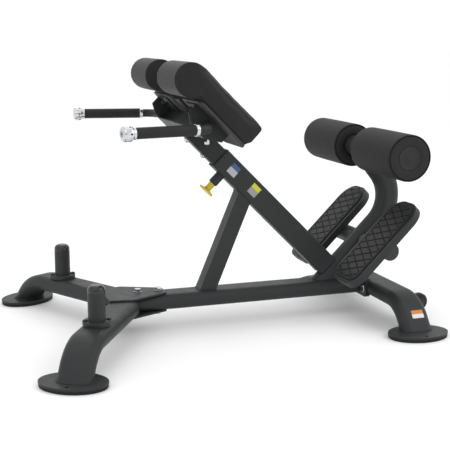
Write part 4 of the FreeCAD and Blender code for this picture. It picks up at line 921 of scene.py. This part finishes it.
def label(name, node, centre, normal, right, width, height, bands):
    """A thin blank film laid on a node's surface, in bands of plain colour."""
    source = frame["nodes"][node].data
    tree = BVHTree.FromPolygons([v.co for v in source.vertices],
                                [p.vertices for p in source.polygons])
    normal = normal.normalized()
    right = (right - normal * right.dot(normal)).normalized()
    up = normal.cross(right)
    made = bmesh.new()
    columns, rows = 8, 12
    grid = []
    for j in range(rows + 1):
        line = []
        for i in range(columns + 1):
            point = centre + right * (i / columns - 0.5) * width * MM
            point += up * (j / rows - 0.5) * height * MM
            hit = tree.ray_cast(point + normal * 0.05, -normal, 0.1)[0]
            line.append(made.verts.new((hit or point) + normal * 0.00025))
        grid.append(line)
    layer = made.faces.layers.int.new("band")
    for j in range(rows):
        for i in range(columns):
            face = made.faces.new((grid[j][i], grid[j][i + 1],
                                   grid[j + 1][i + 1], grid[j + 1][i]))
            share = (j + 0.5) / rows
            face[layer] = next(k for k, (limit, _) in enumerate(bands) if share <= limit)
    mesh = bpy.data.meshes.new(name)
    for face in made.faces:
        face.material_index = face[layer]
    made.to_mesh(mesh)
    made.free()
    piece = bpy.data.objects.new(name, mesh)
    bpy.context.scene.collection.objects.link(piece)
    for _, colour in bands:
        mesh.materials.append(printed(f"{name}_{len(mesh.materials)}", colour))
    thick = piece.modifiers.new("film", "SOLIDIFY")
    thick.thickness = 0.0002
    thick.offset = 1
    mesh.shade_smooth()
    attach(piece, "frame")


def labels():
    left = Vector((0, -1, 0))
    white, blue = (0.42, 0.43, 0.44), (0.03, 0.09, 0.22)
    yellow, orange, grey = (0.62, 0.58, 0.02), (0.62, 0.22, 0.03), (0.3, 0.3, 0.3)
    down_slope = -UP
    label("label_upright_high", "upright_tube", on_slope(695, -25, 2), left, down_slope,
          34, 36, [(0.55, white), (1.0, blue)])
    label("label_upright_low", "upright_tube", on_slope(599, -25, 3), left, down_slope,
          34, 36, [(0.6, grey), (1.0, yellow)])
    label("label_rear_leg", "rear_leg_left", vec(541, -320, 62), Vector((0, -0.79, 0.61)),
          Vector((1, 0, 0)), 40, 27, [(0.5, (0.75, 0.75, 0.75)), (1.0, orange)])


# --- stage ----------------------------------------------------------------------------


def studio():
    """A pale floor, soft lights, a dark card for the chrome to mirror, and the camera."""
    floor_mesh = bpy.data.meshes.new("studio_floor")
    reach = 45
    floor_mesh.from_pydata([(-reach, -reach, 0), (reach, -reach, 0), (reach, reach, 0),
                            (-reach, reach, 0)], [], [(0, 1, 2, 3)])
    floor = bpy.data.objects.new("studio_floor", floor_mesh)
    bpy.context.scene.collection.objects.link(floor)
    grey, light_grey = (0.92, 0.92, 0.92), (0.935, 0.935, 0.935)
    n = Nodes("pale_floor")
    tone = n.blend(n.span(n.noise(0.6, 2), 0, 1), grey, light_grey)
    floor_mesh.materials.append(n.finish(tone, 0.85, Specular_IOR_Level=0.1,
                                         Emission_Color=(1, 1, 1, 1),
                                         Emission_Strength=0.035))

    card_mesh = bpy.data.meshes.new("studio_card")
    card_mesh.from_pydata([(-4.2, -3.9, 0.7), (1.2, -4.9, 0.7), (1.2, -4.9, 1.4),
                           (-4.2, -3.9, 1.4)], [], [(0, 1, 2, 3)])
    card = bpy.data.objects.new("studio_card", card_mesh)
    bpy.context.scene.collection.objects.link(card)
    card_mesh.materials.append(SHADE_AND_CARD_BLACK)
    card.visible_camera = card.visible_diffuse = card.visible_shadow = False

    world = bpy.data.worlds.new("studio_world")
    world.use_nodes = True
    world.node_tree.nodes["Background"].inputs["Color"].default_value = (1, 1, 1, 1)
    world.node_tree.nodes["Background"].inputs["Strength"].default_value = 1.05
    bpy.context.scene.world = world

    for name, place, size, power in (
            ("key_light", (-2.2, -2.6, 3.2), 2.4, 8), ("fill_light", (2.6, -1.8, 2.4), 2.2, 20),
            ("back_light", (0.6, 3.0, 3.0), 2.6, 14), ("top_light", (0, 0, 3.6), 3.0, 8)):
        data = bpy.data.lights.new(name, "AREA")
        data.size = size
        data.energy = power
        light = bpy.data.objects.new(name, data)
        light.location = place
        aim = Vector((0, 0, 0.4)) - Vector(place)
        light.rotation_euler = aim.to_track_quat("-Z", "Y").to_euler()
        bpy.context.scene.collection.objects.link(light)

    lens = bpy.data.cameras.new("photo_camera")
    lens.sensor_width = 36
    lens.lens = 79.4
    lens.clip_end = 200
    camera = bpy.data.objects.new("photo_camera", lens)
    camera.location = (-0.968, -2.9335, 0.9142)
    camera.rotation_euler = (math.radians(79.05), 0, math.radians(-18.63))
    bpy.context.scene.collection.objects.link(camera)
    bpy.context.scene.camera = camera
    bpy.context.scene.view_settings.view_transform = "Standard"


paint_nodes()
hip_pads()
rollers()
mats()
grips()
cap_slot_shade()
rubber_feet()
welds()
labels()
studio()
